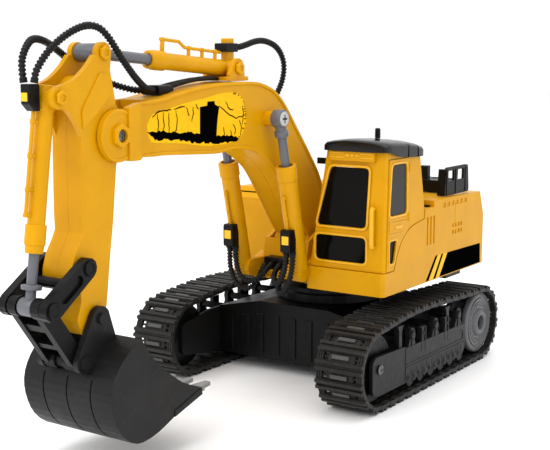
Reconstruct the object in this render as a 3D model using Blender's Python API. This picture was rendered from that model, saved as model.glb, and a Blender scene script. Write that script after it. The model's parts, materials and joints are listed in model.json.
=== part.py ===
"""Radio-controlled toy excavator, built as an assembly of separate pieces.

Frame: metres, +Z up, ground at Z = 0, machine's front towards -Y, cab on the +X side.
Every size below is in millimetres and is turned into metres when an object is made.
Places are measured from the slew axis; SLEW_Y is where that axis lies in the row's frame.
"""

import math

import bmesh
import bpy
from mathutils import Matrix, Vector

MM = 0.001
SLEW_Y = 95.9
GAP = 0.3
SEGMENTS = 14

# Undercarriage
REAR_AXLE_Y = 62.5
FRONT_AXLE_Y = -80.3
AXLE_Z = 25.6
TRACK_X = 69.25
SHOE_WIDTH = 31.5
SHOE_SHARE = 0.62
SHOES = 40
HINGE_R = 22.3
SHOE_HEIGHT = 3.3
BAND_HALF = 0.7
TOP_RISE = 3.6
WHEEL_R = 20.8
WHEEL_INNER_X = 62.3
FRAME_INNER_X = 59.9
FRAME_OUTER_X = 82.8
MOTOR_Y = 30.2
CHASSIS_HALF_X = 59.6
CHASSIS_HALF_Y = 46.0
CHASSIS_LOW_Z = 8.5
CHASSIS_TOP_Z = 47.0
RING_R = 36.0
RING_BORE_R = 26.2

# House
HOUSE_X = 76.4
HOUSE_LOW_Z = 64.8
SKIRT_Y = -65.5
SKIRT_TOP_Z = 78.8
DECK_Z = 116.0
HOUSE_REAR_Y = 84.5
BAY_X = 23.2
BRACKET_Y = -50.0
CAB_FRONT_Y = -63.5
CAB_TOP_Z = 150.9
DOOR_HINGE_Y = -34.8

# Joint axes, as (Y, Z)
BOOM_FOOT = (-40.0, 86.0)
STICK_PIVOT = (-223.4, 167.8)
BUCKET_PIVOT = (-240.0, 78.4)
BOOM_CYL_BASE = (-71.4, 75.0)
BOOM_CYL_EYE = (-93.5, 170.5)
BOOM_CYL_X = 21.3
STICK_CYL_BASE = (-118.0, 199.9)
STICK_CYL_EYE = (-229.8, 208.5)
BUCKET_CYL_BASE = (-259.9, 187.5)
LINK_PIVOT = (-249.7, 105.3)
LINK_END = (-274.2, 88.8)
BUCKET_LINK_PIVOT = (-252.2, 58.3)

# Arm
BOOM_HALF = 12.5
NOSE_HALF = 14.2
NOSE_R = 14.2
FORK_INNER = 10.4
STICK_HALF = 9.9
EAR_INNER = 7.0
BUCKET_HALF = 30.0
BUCKET_WALL = 2.2
BUCKET_EAR_INNER = 10.6
BUCKET_EAR_OUTER = 13.8

YELLOW = (0.87, 0.42, 0.010)
BLACK = (0.018, 0.018, 0.019)
GREY = (0.28, 0.29, 0.31)
STEEL = (0.62, 0.62, 0.64)
GREEN = (0.02, 0.16, 0.05)


# ---------------------------------------------------------------- tools

def clear_scene():
    for old in list(bpy.data.objects):
        bpy.data.objects.remove(old, do_unlink=True)


def material(name, colour, roughness, metallic=0.0):
    made = bpy.data.materials.get(name)
    if made:
        return made
    made = bpy.data.materials.new(name)
    made.use_nodes = True
    shader = made.node_tree.nodes["Principled BSDF"]
    shader.inputs["Base Color"].default_value = (*colour, 1.0)
    shader.inputs["Roughness"].default_value = roughness
    shader.inputs["Metallic"].default_value = metallic
    return made


def place(axis, u, v, w):
    """The point whose coordinate along the axis is w; u and v are the other two in X, Y, Z order."""
    return {"X": (w, u, v), "Y": (u, w, v), "Z": (u, v, w)}[axis]


def prism(outline, axis, low, high):
    """A flat outline pushed along an axis from low to high."""
    bm = bmesh.new()
    ends = [[bm.verts.new(place(axis, u, v, w)) for u, v in outline] for w in (low, high)]
    for ring in ends:
        bm.faces.new(ring)
    for i in range(len(outline)):
        j = (i + 1) % len(outline)
        bm.faces.new((ends[0][i], ends[0][j], ends[1][j], ends[1][i]))
    bmesh.ops.recalc_face_normals(bm, faces=bm.faces)
    return bm


def box(low, high):
    return prism([(low[0], low[1]), (high[0], low[1]), (high[0], high[1]), (low[0], high[1])],
                 "Z", low[2], high[2])


def turned(profile, start, direction, segments=SEGMENTS):
    """Spins (distance along, radius) pairs about the line from start along direction."""
    bm = bmesh.new()
    rings = []
    for along, radius in profile:
        ring = [bm.verts.new((radius * math.cos(2 * math.pi * k / segments),
                              radius * math.sin(2 * math.pi * k / segments), along))
                for k in range(segments)]
        rings.append(ring)
    bm.faces.new(rings[0])
    bm.faces.new(rings[-1])
    for a, b in zip(rings, rings[1:]):
        for k in range(segments):
            j = (k + 1) % segments
            bm.faces.new((a[k], a[j], b[j], b[k]))
    bmesh.ops.recalc_face_normals(bm, faces=bm.faces)
    turn = Vector((0, 0, 1)).rotation_difference(Vector(direction).normalized()).to_matrix().to_4x4()
    bm.transform(Matrix.Translation(start) @ turn)
    return bm


def rod(start, end, radius, segments=SEGMENTS):
    a, b = Vector(start), Vector(end)
    return turned([(0, radius), ((b - a).length, radius)], a, b - a, segments)


def rod_x(x0, x1, centre, radius, segments=SEGMENTS):
    return rod((x0, *centre), (x1, *centre), radius, segments)


def arc(centre, radius, start_deg, end_deg, steps):
    """Points of a round stretch, ends included."""
    span = [math.radians(start_deg + (end_deg - start_deg) * k / steps) for k in range(steps + 1)]
    return [(centre[0] + radius * math.cos(a), centre[1] + radius * math.sin(a)) for a in span]


def rounded(outline, radius, steps=4):
    """The outline with each corner cut back by radius and rounded."""
    out = []
    count = len(outline)
    for i in range(count):
        p = Vector(outline[i])
        before = Vector(outline[i - 1]) - p
        after = Vector(outline[(i + 1) % count]) - p
        cut = min(radius, 0.45 * before.length, 0.45 * after.length)
        a, b = p + before.normalized() * cut, p + after.normalized() * cut
        for k in range(steps + 1):
            t = k / steps
            out.append(tuple(a * (1 - t) ** 2 + p * 2 * t * (1 - t) + b * t * t))
    return out


def smooth_through(points, steps=4):
    """Points of a smooth curve through the given ones, in any number of dimensions."""
    pts = [Vector(p) for p in points]
    pts = [2 * pts[0] - pts[1]] + pts + [2 * pts[-1] - pts[-2]]
    out = []
    for i in range(1, len(pts) - 2):
        a, b, c, d = pts[i - 1:i + 3]
        for k in range(steps):
            t = k / steps
            out.append(tuple(0.5 * (2 * b + (c - a) * t + (2 * a - 5 * b + 4 * c - d) * t * t
                                    + (3 * b - a - 3 * c + d) * t ** 3)))
    out.append(tuple(pts[-2]))
    return out


def link_outline(a, b, radius_a, radius_b, steps=6):
    """A plate with a round end about a and another about b."""
    angle = math.degrees(math.atan2(b[1] - a[1], b[0] - a[0]))
    return (arc(a, radius_a, angle + 90, angle + 270, steps)
            + arc(b, radius_b, angle - 90, angle + 90, steps))


def mirrored(bm):
    """The same solid on the other side of X = 0."""
    copy = bm.copy()
    bmesh.ops.scale(copy, vec=(-1, 1, 1), verts=copy.verts)
    bmesh.ops.reverse_faces(copy, faces=copy.faces)
    return copy


def raw_object(name, bm):
    mesh = bpy.data.meshes.new(name)
    bm.to_mesh(mesh)
    obj = bpy.data.objects.new(name, mesh)
    bpy.context.collection.objects.link(obj)
    return obj


def node(name, add, cut=(), look=None, pivot=(0, 0, 0), then=()):
    """Unites the solids in add, takes away those in cut, adds those in then, and names the result."""
    obj = raw_object(name, add[0])
    tools = []
    for operation, solids in (("UNION", add[1:]), ("DIFFERENCE", cut), ("UNION", then)):
        for bm in solids:
            tool = raw_object("tool", bm)
            step = obj.modifiers.new("step", "BOOLEAN")
            step.operation = operation
            step.solver = "EXACT"
            step.object = tool
            tools.append(tool)
    shape = bpy.data.meshes.new_from_object(obj.evaluated_get(bpy.context.evaluated_depsgraph_get()))
    obj.modifiers.clear()
    obj.data = shape
    for tool in tools:
        bpy.data.objects.remove(tool, do_unlink=True)
    tidy = bmesh.new()
    tidy.from_mesh(shape)
    bmesh.ops.remove_doubles(tidy, verts=tidy.verts, dist=0.001)
    bmesh.ops.dissolve_degenerate(tidy, edges=tidy.edges, dist=0.001)
    tidy.transform(Matrix.Scale(MM, 4) @ Matrix.Translation(-Vector(pivot)))
    tidy.to_mesh(shape)
    shape.name = name
    shape.shade_smooth()
    shape.set_sharp_from_angle(angle=math.radians(32))
    shape.materials.clear()
    shape.materials.append(look)
    obj.location = (pivot[0] * MM, (pivot[1] + SLEW_Y) * MM, pivot[2] * MM)
    return obj


def hose(name, route, radius, look, steps=2):
    """A flexible line along a smooth curve through its route."""
    curve = bpy.data.curves.new(name, "CURVE")
    curve.dimensions = "3D"
    curve.bevel_depth = radius * MM
    curve.bevel_resolution = 2
    curve.use_fill_caps = True
    points = smooth_through(route, steps)
    spline = curve.splines.new("POLY")
    spline.points.add(len(points) - 1)
    for target, (x, y, z) in zip(spline.points, points):
        target.co = (x * MM, (y + SLEW_Y) * MM, z * MM, 1.0)
    curve.materials.append(look)
    obj = bpy.data.objects.new(name, curve)
    bpy.context.collection.objects.link(obj)
    return obj


def at_x(x, yz):
    return (x, yz[0], yz[1])


def along(start, end, distance):
    """The (Y, Z) point that far from start towards end."""
    a, b = Vector(start), Vector(end)
    return tuple(a + (b - a).normalized() * distance)


def both_sides(make):
    make(1, "left")
    make(-1, "right")


def sided(side, solids):
    return solids if side > 0 else [mirrored(bm) for bm in solids]


# ---------------------------------------------------------------- undercarriage

def belt_point(s, height):
    """The (Y, Z) at height outside the belt's hinge line, s along it from below the front axle."""
    straight = REAR_AXLE_Y - FRONT_AXLE_Y
    bend = math.pi * HINGE_R
    radius = HINGE_R + height
    if s < straight:
        return (FRONT_AXLE_Y + s, AXLE_Z - radius)
    if s < straight + bend:
        angle = (s - straight) / HINGE_R - math.pi / 2
        return (REAR_AXLE_Y + radius * math.cos(angle), AXLE_Z + radius * math.sin(angle))
    if s < 2 * straight + bend:
        share = (s - straight - bend) / straight
        rise = TOP_RISE * math.sin(math.pi * share ** 1.5)
        return (REAR_AXLE_Y - share * straight, AXLE_Z + radius + rise)
    angle = (s - 2 * straight - bend) / HINGE_R + math.pi / 2
    return (FRONT_AXLE_Y + radius * math.cos(angle), AXLE_Z + radius * math.sin(angle))


def belt_side(steps):
    """One side of the belt as (Y, Z): each shoe's steps are (share of its length, height)."""
    pitch = 2 * (REAR_AXLE_Y - FRONT_AXLE_Y + math.pi * HINGE_R) / SHOES
    return [belt_point((k + share) * pitch, height) for k in range(SHOES) for share, height in steps]


def make_belt(side, word):
    """Belt of thick shoes joined by thin links; the guide posts lift its top run a little."""
    half = SHOE_WIDTH / 2
    band = prism(belt_side([(0.0, BAND_HALF), (0.02, SHOE_HEIGHT), (SHOE_SHARE, SHOE_HEIGHT),
                            (SHOE_SHARE + 0.02, BAND_HALF)]), "X", TRACK_X - half, TRACK_X + half)
    inside = prism(belt_side([(0.31, -BAND_HALF), (0.81, -BAND_HALF)]),
                   "X", TRACK_X - half - 1, TRACK_X + half + 1)
    node("track_belt_" + word, sided(side, [band]), sided(side, [inside]), RUBBERY)


def make_track_frame(side, word):
    outer_plate = prism(rounded([(-88.0, 11.5), (-88.3, 31.0), (-84.5, 33.6), (-49.0, 32.4), (-46.0, 31.2),
                                 (37.9, 30.2), (37.9, 13.5), (33.0, 9.0), (-47.4, 9.4), (-81.5, 9.4)], 3, 3),
                        "X", FRAME_OUTER_X - 2.4, FRAME_OUTER_X)
    core = prism([(-56, 11), (-56, 30), (38, 30), (38, 11)], "X", FRAME_INNER_X + 0.5, FRAME_OUTER_X - 2)
    drive_hole = rod_x(FRAME_INNER_X - 1, FRAME_INNER_X + 4, (REAR_AXLE_Y, AXLE_Z), 3.5, 12)
    inner_plate = prism(rounded([(-86, 14), (-86, 34), (-56, 39), (40, 39), (68, 34), (68, 14),
                                 (40, 9), (-56, 9)], 3, 3), "X", FRAME_INNER_X, FRAME_INNER_X + 2.1)
    solids = [outer_plate, core, inner_plate]
    for y in (-38.5, -6.4, 27.4):
        solids.append(prism([(y - 6.2, 29), (y - 3.4, 34)] + arc((y, 38.3), 4.0, 180, 0, 5)
                            + [(y + 3.4, 34), (y + 6.2, 29)], "X", FRAME_OUTER_X - 3.4, FRAME_OUTER_X - 0.4))
        solids.append(rod_x(FRAME_INNER_X + 1, FRAME_OUTER_X + 0.7, (y, 37.4), 2.4, 6))
    for y in (-52.5, 12.4):
        solids.append(prism([(y - 1.8, 29), (y - 1.8, 43), (y - 3.6, 46.0), (y + 3.6, 46.0), (y + 1.8, 43),
                             (y + 1.8, 29)], "X", FRAME_OUTER_X - 4.4, FRAME_OUTER_X - 1.0))
    for y in (-23.2, 9.3):
        solids.append(box((FRAME_OUTER_X - 3, y - 3.6, 29), (FRAME_OUTER_X - 0.4, y + 3.6, 40.0)))
    for k in range(6):
        y = -40.0 + 14.2 * k
        solids.append(rod_x(FRAME_INNER_X + 3, FRAME_OUTER_X - 0.6, (y, 9.9), 4.4, 7))
    axle_hole = rod_x(FRAME_OUTER_X - 4, FRAME_OUTER_X + 2, (FRONT_AXLE_Y, AXLE_Z), 2.2, 12)
    node("track_frame_" + word, sided(side, solids), sided(side, [axle_hole, drive_hole]), DARK)


def make_idler(side, word):
    """Front wheel with its axle screw; it turns about the screw."""
    centre = (FRONT_AXLE_Y, AXLE_Z)
    rim = turned([(0, 19.2), (0.8, 20.4), (5.0, 20.4), (5.4, 16.5), (11.4, 16.5), (11.8, 20.4), (16.0, 20.4),
                  (16.8, 19.2)], (WHEEL_INNER_X, *centre), (1, 0, 0), 20)
    stub = rod_x(WHEEL_INNER_X + 5, FRAME_OUTER_X + GAP + 0.2, centre, 1.7, 12)
    head = turned([(0, 3.1), (0.7, 3.0), (1.4, 1.9)], (FRAME_OUTER_X + GAP, *centre), (1, 0, 0), 12)
    cross = [box((FRAME_OUTER_X + 0.9, centre[0] - a, centre[1] - b),
                 (FRAME_OUTER_X + 3, centre[0] + a, centre[1] + b)) for a, b in ((1.5, 0.3), (0.3, 1.5))]
    node("idler_" + word, sided(side, [rim, stub, head]), sided(side, cross), DARK,
         (side * TRACK_X, *centre))


def make_sprocket(side, word):
    """Rear drive wheel: a dished disc with raised rings and a deep hub socket."""
    centre = (REAR_AXLE_Y, AXLE_Z)
    x = WHEEL_INNER_X
    profile = [(0, 16.5), (4, 16.5), (4.4, WHEEL_R - 2), (6, WHEEL_R - 2), (6.4, 15.0), (15.0, 15.0),
               (15.6, WHEEL_R), (18.4, WHEEL_R), (19.6, 18.6), (19.6, 8.2), (21.2, 7.4), (21.2, 5.4)]
    wheel = turned(profile, (x, *centre), (1, 0, 0), 20)
    socket = rod_x(x + 16, x + 25, centre, 4.4, 6)
    drive = rod_x(x - 2.1, x + 1, centre, 3.0, 12)
    node("sprocket_" + word, sided(side, [wheel, drive]), sided(side, [socket]), SATIN_GREY,
         (side * TRACK_X, *centre))


def make_chassis():
    outline = [(-CHASSIS_HALF_X, CHASSIS_LOW_Z), (CHASSIS_HALF_X, CHASSIS_LOW_Z), (CHASSIS_HALF_X, 40.0),
               (26.6, CHASSIS_TOP_Z), (-26.6, CHASSIS_TOP_Z), (-CHASSIS_HALF_X, 40.0)]
    shell = prism(outline, "Y", -CHASSIS_HALF_Y, CHASSIS_HALF_Y)
    ribs = []
    for face in (-1, 1):
        for k in range(-4, 5):
            x = 12.6 * k
            top = 38.5 if abs(x) < 28 else 38.5 - 0.22 * (abs(x) - 28)
            depth = 0.9 if abs(x) < 34 else 0.5
            ribs.append(box((x - 2.1, face * (CHASSIS_HALF_Y - 0.5) - (0.5 + depth if face < 0 else 0), 12.0),
                            (x + 2.1, face * (CHASSIS_HALF_Y - 0.5) + (0.5 + depth if face > 0 else 0), top)))
    bay = box((-52, -40, CHASSIS_LOW_Z - 3), (52, 40, 37))
    shaft_holes = [rod((s * 48, MOTOR_Y, 26), (s * 64, MOTOR_Y, 26), 3.4, 12) for s in (-1, 1)]
    node("chassis_center", [shell] + ribs, [bay] + shaft_holes, DARK)
    cover = box((-51.6, -39.6, CHASSIS_LOW_Z), (51.6, 39.6, CHASSIS_LOW_Z + 2))
    window = box((34, -8, CHASSIS_LOW_Z - 1), (46, 8, CHASSIS_LOW_Z + 3))
    latch = box((-6, -38, CHASSIS_LOW_Z - 0.6), (6, -32, CHASSIS_LOW_Z + 1))
    node("battery_cover", [cover, latch], [window], DARK)
    node("battery_pack", [prism(rounded([(-36, 11), (-36, 33), (30, 33), (30, 11)], 4), "Y", -37, 8)],
         look=DARK)
    slider = [box((35.2, -7, CHASSIS_LOW_Z + 0.4), (44.8, 3.4, CHASSIS_LOW_Z + 1.8)),
              box((38, -4, CHASSIS_LOW_Z - 1.2), (42, 0.4, CHASSIS_LOW_Z + 1))]
    node("power_switch", slider, look=DARK)
    ring = turned([(0, RING_R), (5.5, RING_R), (6.5, RING_R - 1), (9.5, RING_R - 1)],
                  (0, 0, CHASSIS_TOP_Z + GAP), (0, 0, 1), 26)
    bore = rod((0, 0, CHASSIS_TOP_Z - 1), (0, 0, CHASSIS_TOP_Z + 12), RING_BORE_R, 26)
    node("slew_ring", [ring], [bore], DARK)


def make_drive_motor(side, word):
    y, z = MOTOR_Y, 26.0
    can = rod((14, y - 8, z), (34, y - 8, z), 8.5, 14)
    gearbox = box((33.5, y - 16, 14), (47.5, y + 6, 35.5))
    shaft = rod((47, y, z), (56, y, z), 2.6, 12)
    node("drive_motor_" + word, sided(side, [can, gearbox, shaft]), look=METAL)


# ---------------------------------------------------------------- house

def house_plan(inset):
    """The house's outline seen from above, drawn in by inset on every side."""
    i = inset
    return [(-HOUSE_X + i, -6 + i), (-17.5 - i, -6 + i), (-17.5 - i, BRACKET_Y + i), (BAY_X + i, BRACKET_Y + i),
            (BAY_X + i, SKIRT_Y + i), (74.4 - i, SKIRT_Y + i), (HOUSE_X - i, -63.5 + i),
            (HOUSE_X - i, 78 - i), (70 - i, HOUSE_REAR_Y + 1 - i), (-70 + i, HOUSE_REAR_Y + 1 - i),
            (-HOUSE_X + i, 78 - i)]


def fender_arc():
    """The front edge of the fender behind the door, from the skirt up to the deck step."""
    return smooth_through([(-51.8, SKIRT_TOP_Z), (-47.6, 88.5), (-40.5, 97.5), (-30.0, 103.0), (-12.0, 106.0)], 4)


def make_house_shell():
    side_view = ([(SKIRT_Y, HOUSE_LOW_Z), (SKIRT_Y, SKIRT_TOP_Z)] + fender_arc()
                 + [(-12.0, 112.0), (0.5, 112.0), (0.5, DECK_Z), (70.8, DECK_Z - 0.8),
                    (HOUSE_REAR_Y, 79.6), (83.4, HOUSE_LOW_Z)])
    left = prism(side_view, "X", BAY_X, HOUSE_X)
    back = prism([(-6.0, HOUSE_LOW_Z), (-6.0, 109.0), (0.5, DECK_Z), (70.8, DECK_Z - 0.8),
                  (HOUSE_REAR_Y, 79.6), (83.4, HOUSE_LOW_Z)], "X", -HOUSE_X, BAY_X + 1)
    chamfer = [prism([(74.4, SKIRT_Y - 1), (80, SKIRT_Y - 1), (80, -63.5), (HOUSE_X, -63.5),
                      (74.4, SKIRT_Y)], "Z", 50, 130)]
    for s in (-1, 1):
        chamfer.append(prism([(s * HOUSE_X, 77), (s * (HOUSE_X + 5), 77), (s * (HOUSE_X + 5), 92),
                              (s * 68, 92), (s * 68, HOUSE_REAR_Y + 0.2)], "Z", 50, 130))
    inside = box((-73.5, -3, 60), (73.5, 68, DECK_Z - 3))
    rear_inside = box((-66, 60, 60), (66, 78, 90))
    front_inside = box((BAY_X + 3, SKIRT_Y + 3, 60), (72, 0, SKIRT_TOP_Z - 2.4))
    vents = [box((HOUSE_X - 0.8, -9.5 + 4.6 * k, 88.5), (HOUSE_X + 1, -7.3 + 4.6 * k, 106.5)) for k in range(3)]
    grille = [box((HOUSE_X - 0.7, 27.5 + 8.5 * k + 4.0 * i, 91 + 4.4 * j),
                  (HOUSE_X + 1, 30.1 + 8.5 * k + 4.0 * i, 93.6 + 4.4 * j))
              for k in range(2) for i in range(2) for j in range(2)]
    seam = [box((HOUSE_X - 0.5, 31.2, 97.5), (HOUSE_X + 1, 31.7, 112))]
    bumps = [box((HOUSE_X - 0.6, 13.0 + 6.4 * k, 110.2), (HOUSE_X + 0.0, 17.0 + 6.4 * k, 113.2)) for k in range(6)]
    node("house_shell", [left, back], chamfer + [inside, rear_inside, front_inside] + vents + grille + seam
         + bumps, PAINT)


def make_house_floor():
    plate = prism(house_plan(5.6), "Z", 62.6, HOUSE_LOW_Z - GAP)
    hub = rod((0, 0, CHASSIS_TOP_Z + 1.2), (0, 0, 63), RING_BORE_R - 0.4, 26)
    foot = box((-62, 50, 56.0), (62, 73, 63))
    node("house_floor", [plate, hub, foot], look=DARK)


def cab_side_view(grow):
    """The cab from the side; grow moves its lower edge off the fender."""
    lower = [(y - grow, z + grow) for y, z in fender_arc()]
    return ([(CAB_FRONT_Y, SKIRT_TOP_Z + grow)] + lower[:-1]
            + [(-12.0 - grow, 106.0 + grow), (-13.2, 116.0), (-20.5, CAB_TOP_Z), (CAB_FRONT_Y + 1, CAB_TOP_Z)])


def door_outline(grow):
    arc_part = [(y - 1.5 - grow, z) for y, z in fender_arc()[1:11]]
    return ([(-61.4 + grow, SKIRT_TOP_Z + 1.2 + grow)] + [(-53.0 - grow, SKIRT_TOP_Z + 1.2 + grow)] + arc_part
            + [(DOOR_HINGE_Y - 0.3 - grow, 102.0), (DOOR_HINGE_Y - 0.3 - grow, 146.2 - grow),
               (-59.4 + grow, 146.2 - grow)])


DOOR_WINDOW = [(-59.2, 112.6), (-37.4, 112.6), (-38.0, 143.2), (-56.4, 143.2)]
DOOR_LOW_WINDOW = [(-58.6, 84.0), (-52.8, 84.0), (-49.8, 97.6), (-58.6, 97.6)]
WINDSCREEN = [(28.6, 105.0), (63.0, 105.0), (65.0, 141.2), (38.4, 141.2)]
LOW_WINDSCREEN = [(28.0, 83.6), (63.0, 83.6), (63.0, 99.2), (28.0, 99.2)]
CAB_SIDE_WINDOW = [(-56.0, 108.0), (-26.0, 108.0), (-26.0, 141.0), (-56.0, 141.0)]


def shrunk(outline, by):
    """The outline moved in towards its middle by about that much on each side."""
    cy = sum(p[0] for p in outline) / len(outline)
    cz = sum(p[1] for p in outline) / len(outline)
    return [(y - math.copysign(by, y - cy), z - math.copysign(by, z - cz)) for y, z in outline]


def make_cab():
    body = prism(cab_side_view(GAP), "X", 24.0, 75.9)
    lean = prism([(20, 70), (24.0, 70), (24.6, 84), (35.5, 152), (20, 152)], "Y", -80, 0)
    corner = prism([(73.8, -70), (80, -70), (80, -62.0), (75.9, -62.0), (74.4, CAB_FRONT_Y)], "Z", 70, 160)
    inside = prism([(27.5, 82), (73.0, 82), (73.0, 147), (38.5, 147), (29.0, 90)], "Y", -61.0, -24)
    door_way = prism(door_outline(-GAP), "X", 74.4, 80)
    door_hole = prism(shrunk(DOOR_WINDOW, -2.0), "X", 70, 80)
    low_hole = prism(shrunk(DOOR_LOW_WINDOW, -0.8), "X", 70, 80)
    front = [prism(rounded(WINDSCREEN, 3.0), "Y", -70, -58), prism(rounded(LOW_WINDSCREEN, 3.0), "Y", -70, -58)]
    visor = box((38.0, CAB_FRONT_Y - 1.6, 145.2), (69.0, CAB_FRONT_Y + 1, CAB_TOP_Z - 0.2))
    rails = [box((67.2, CAB_FRONT_Y - 2.4, 93.0), (69.6, CAB_FRONT_Y - 1.0, 119.0))]
    rails += [box((67.2, CAB_FRONT_Y - 2.4, z), (69.6, CAB_FRONT_Y + 0.6, z + 2.4)) for z in (93.0, 116.6)]
    side_hole = prism(rounded(CAB_SIDE_WINDOW, 3), "X", 20, 40)
    node("cab_shell", [body, visor] + rails, [lean, corner, inside, door_way, door_hole, low_hole, side_hole]
         + front, PAINT)
    node("windscreen", [prism(rounded(shrunk(WINDSCREEN, GAP), 2.8), "Y", CAB_FRONT_Y + 0.3, CAB_FRONT_Y + 2.0)],
         look=SMOKED)
    node("lower_windscreen", [prism(rounded(shrunk(LOW_WINDSCREEN, GAP), 2.8), "Y", CAB_FRONT_Y + 0.3,
                                    CAB_FRONT_Y + 2.0)], look=SMOKED)


def make_door():
    pivot = (76.6, DOOR_HINGE_Y, 110.0)
    panel = prism(door_outline(0), "X", 74.8, 76.6)
    rib = prism([(-59.6, 102.6), (-36.4, 102.0), (-36.4, 108.6), (-59.2, 109.4)], "X", 76.0, 77.0)
    holes = [prism(rounded(DOOR_WINDOW, 3.0), "X", 70, 80), prism(rounded(DOOR_LOW_WINDOW, 1.6), "X", 70, 80)]
    node("cab_door", [panel, rib], holes, PAINT, pivot)
    pane = prism(rounded(shrunk(DOOR_WINDOW, GAP), 2.8), "X", 74.9, 76.0)
    node("door_window", [pane], look=SMOKED, pivot=pivot)


def make_cab_roof():
    plan = rounded([(36.2, -65.2), (72.0, -65.6), (78.0, -61.5), (78.4, -19.5), (34.0, -18.0)], 3.0, 3)
    slab = prism(plan, "Z", CAB_TOP_Z + GAP, 155.6)
    crown = prism([(-63.0, 155.0), (-60.0, 156.4), (-44.0, 157.4), (-30.0, 156.8), (-21.5, 155.0)], "X", 39, 74)
    skirt = prism([(-60.5, 155.0), (-60.0, 150.6), (-52.0, 147.4), (-20.5, 147.4), (-19.6, 155.0)], "X", 76.9, 78.6)
    notches = [prism([(y - 1.0, 147), (y + 1.0, 147), (y + 0.5, 155), (y - 0.5, 155)], "X", 77.6, 80)
               for y in (-40.0, -27.5)]
    node("cab_roof", [slab, crown, skirt], notches, DARK)
    mast = turned([(0, 1.7), (5.6, 1.65), (6.2, 1.2)], (60, -45, 157.4 + GAP), (0, 0, 1), 14)
    node("antenna", [mast], look=DARK)


def make_deck_parts():
    cover = prism(rounded([(6, DECK_Z + GAP), (62, DECK_Z + GAP), (62, 122.8), (60.4, 124.2), (9, 124.2),
                           (6, 121.5)], 1.0, 2), "Y", 40, 61)
    stack = prism(rounded([(43, 43), (49.5, 43), (49.5, 49.5), (43, 49.5)], 1.5, 2), "Z", 123, 133.2)
    seams = [box((12 + 9 * k, 51, 123.6), (16 + 9 * k, 59, 126)) for k in range(5)]
    node("engine_cover", [cover, stack], seams, DARK)
    frame = prism(rounded([(22.5, DECK_Z + GAP), (60.0, DECK_Z + GAP), (58.0, 134.8), (25.0, 134.8)], 2.5, 3),
                  "X", 71.2, 72.8)
    leg = prism([(22.9, DECK_Z + GAP), (25.4, DECK_Z + GAP), (26.6, 133.6), (24.9, 133.6)], "X", 67.0, 72.0)
    panes = [prism([(y, 125.6), (y + 9.2, 125.6), (y + 9.2, 132.4), (y + 0.6, 132.4)], "X", 60, 80)
             for y in (27.4, 42.0)]
    posts = [box((72.0, y, DECK_Z + 1), (73.2, y + 2.0, 133.0)) for y in (25.2, 38.6, 53.6)]
    node("handrail", [frame, leg] + posts, panes, DARK)
    arm = [box((26.5, -47.5, 142.0), (33.6, -45.5, 143.6)), box((19.5, -49.0, 140.6), (27.0, -47.2, 144.4))]
    node("mirror", arm, look=DARK)


def make_boom_bracket():
    """Front bay of the house: the boom's foot pocket, its ledge and the lift cylinders' lugs."""
    ledge = prism([(BRACKET_Y + 1.0, HOUSE_LOW_Z), (BRACKET_Y - 6, 72.0), (BRACKET_Y - 6, 80.0),
                   (BRACKET_Y - 3.6, 91.6), (BRACKET_Y - 2.2, 91.6), (BRACKET_Y - 2.2, 76.0),
                   (BRACKET_Y + 4.0, 70.0), (BRACKET_Y + 4.0, HOUSE_LOW_Z)], "X", -16.6, 16.6)
    cheeks = [prism([(BRACKET_Y - 2.6, HOUSE_LOW_Z), (BRACKET_Y - 2.6, 91.6), (-28, 104.0), (-7.0, 104.0),
                     (-7.0, HOUSE_LOW_Z)], "X", x, x + 2.6) for x in (-16.6, 14.0)]
    base = box((-16.6, BRACKET_Y, HOUSE_LOW_Z), (16.6, -7.0, HOUSE_LOW_Z + 3))
    wings = []
    lugs = []
    for s in (-1, 1):
        wing = prism([(BRACKET_Y + 1.0, HOUSE_LOW_Z), (BRACKET_Y - 7.6, HOUSE_LOW_Z + 1), (BRACKET_Y - 7.6, 79),
                      (BRACKET_Y + 1.0, 82)], "X", 16.0, 22.9)
        lug = prism(link_outline((BRACKET_Y - 5, 73), BOOM_CYL_BASE, 7.0, 5.4, 6), "X", 13.6, 17.4)
        wings.append(wing if s > 0 else mirrored(wing))
        lugs.append(lug if s > 0 else mirrored(lug))
    node("boom_bracket", [base, ledge] + cheeks + wings + lugs, look=PAINT)


def make_manifold():
    block = prism(rounded([(-10.6, 73.2), (10.6, 73.2), (10.6, 81.0), (-10.6, 81.0)], 1.0, 2), "Y", -63.4, -56.4)
    ports = [rod((x, -64.8, 77.2), (x, -63.0, 77.2), 2.2, 12) for x in (-7.6, -3.0, 3.0, 7.6)]
    node("hose_manifold", [block] + ports, look=DARK)


def make_house_insides():
    board = box((-40, 20, 100), (40, 62, 101.6))
    chips = [box((-30 + 22 * k, 30, 101.2), (-16 + 22 * k, 42, 104.0)) for k in range(3)]
    node("circuit_board", [board] + chips, look=BOARD)
    can = rod((30, 30, 68.5), (30, 30, 92), 9.0, 14)
    gearbox = box((6, 16, 65.5), (42, 46, 69.0))
    node("slew_motor", [gearbox, can], look=METAL)


# ---------------------------------------------------------------- boom

BOOM_TOP = [(-197.0, 184.6), (-188.0, 185.4), (-163.6, 189.6), (-140.0, 192.0), (-109.0, 192.4), (-94.3, 190.2),
            (-82.6, 185.3), (-72.3, 176.6), (-61.7, 164.6), (-46.9, 147.7), (-33.6, 130.5), (-28.0, 112.0),
            (-28.6, 94.0)]
BOOM_BOTTOM = [(-47.4, 94.2), (-52.4, 99.8), (-58.2, 107.0), (-66.0, 117.5), (-77.6, 132.2), (-86.0, 140.6),
               (-99.4, 148.6), (-110.7, 152.8), (-127.0, 154.2), (-141.0, 153.0), (-164.2, 154.0),
               (-186.4, 155.2), (-197.0, 155.2)]


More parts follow.
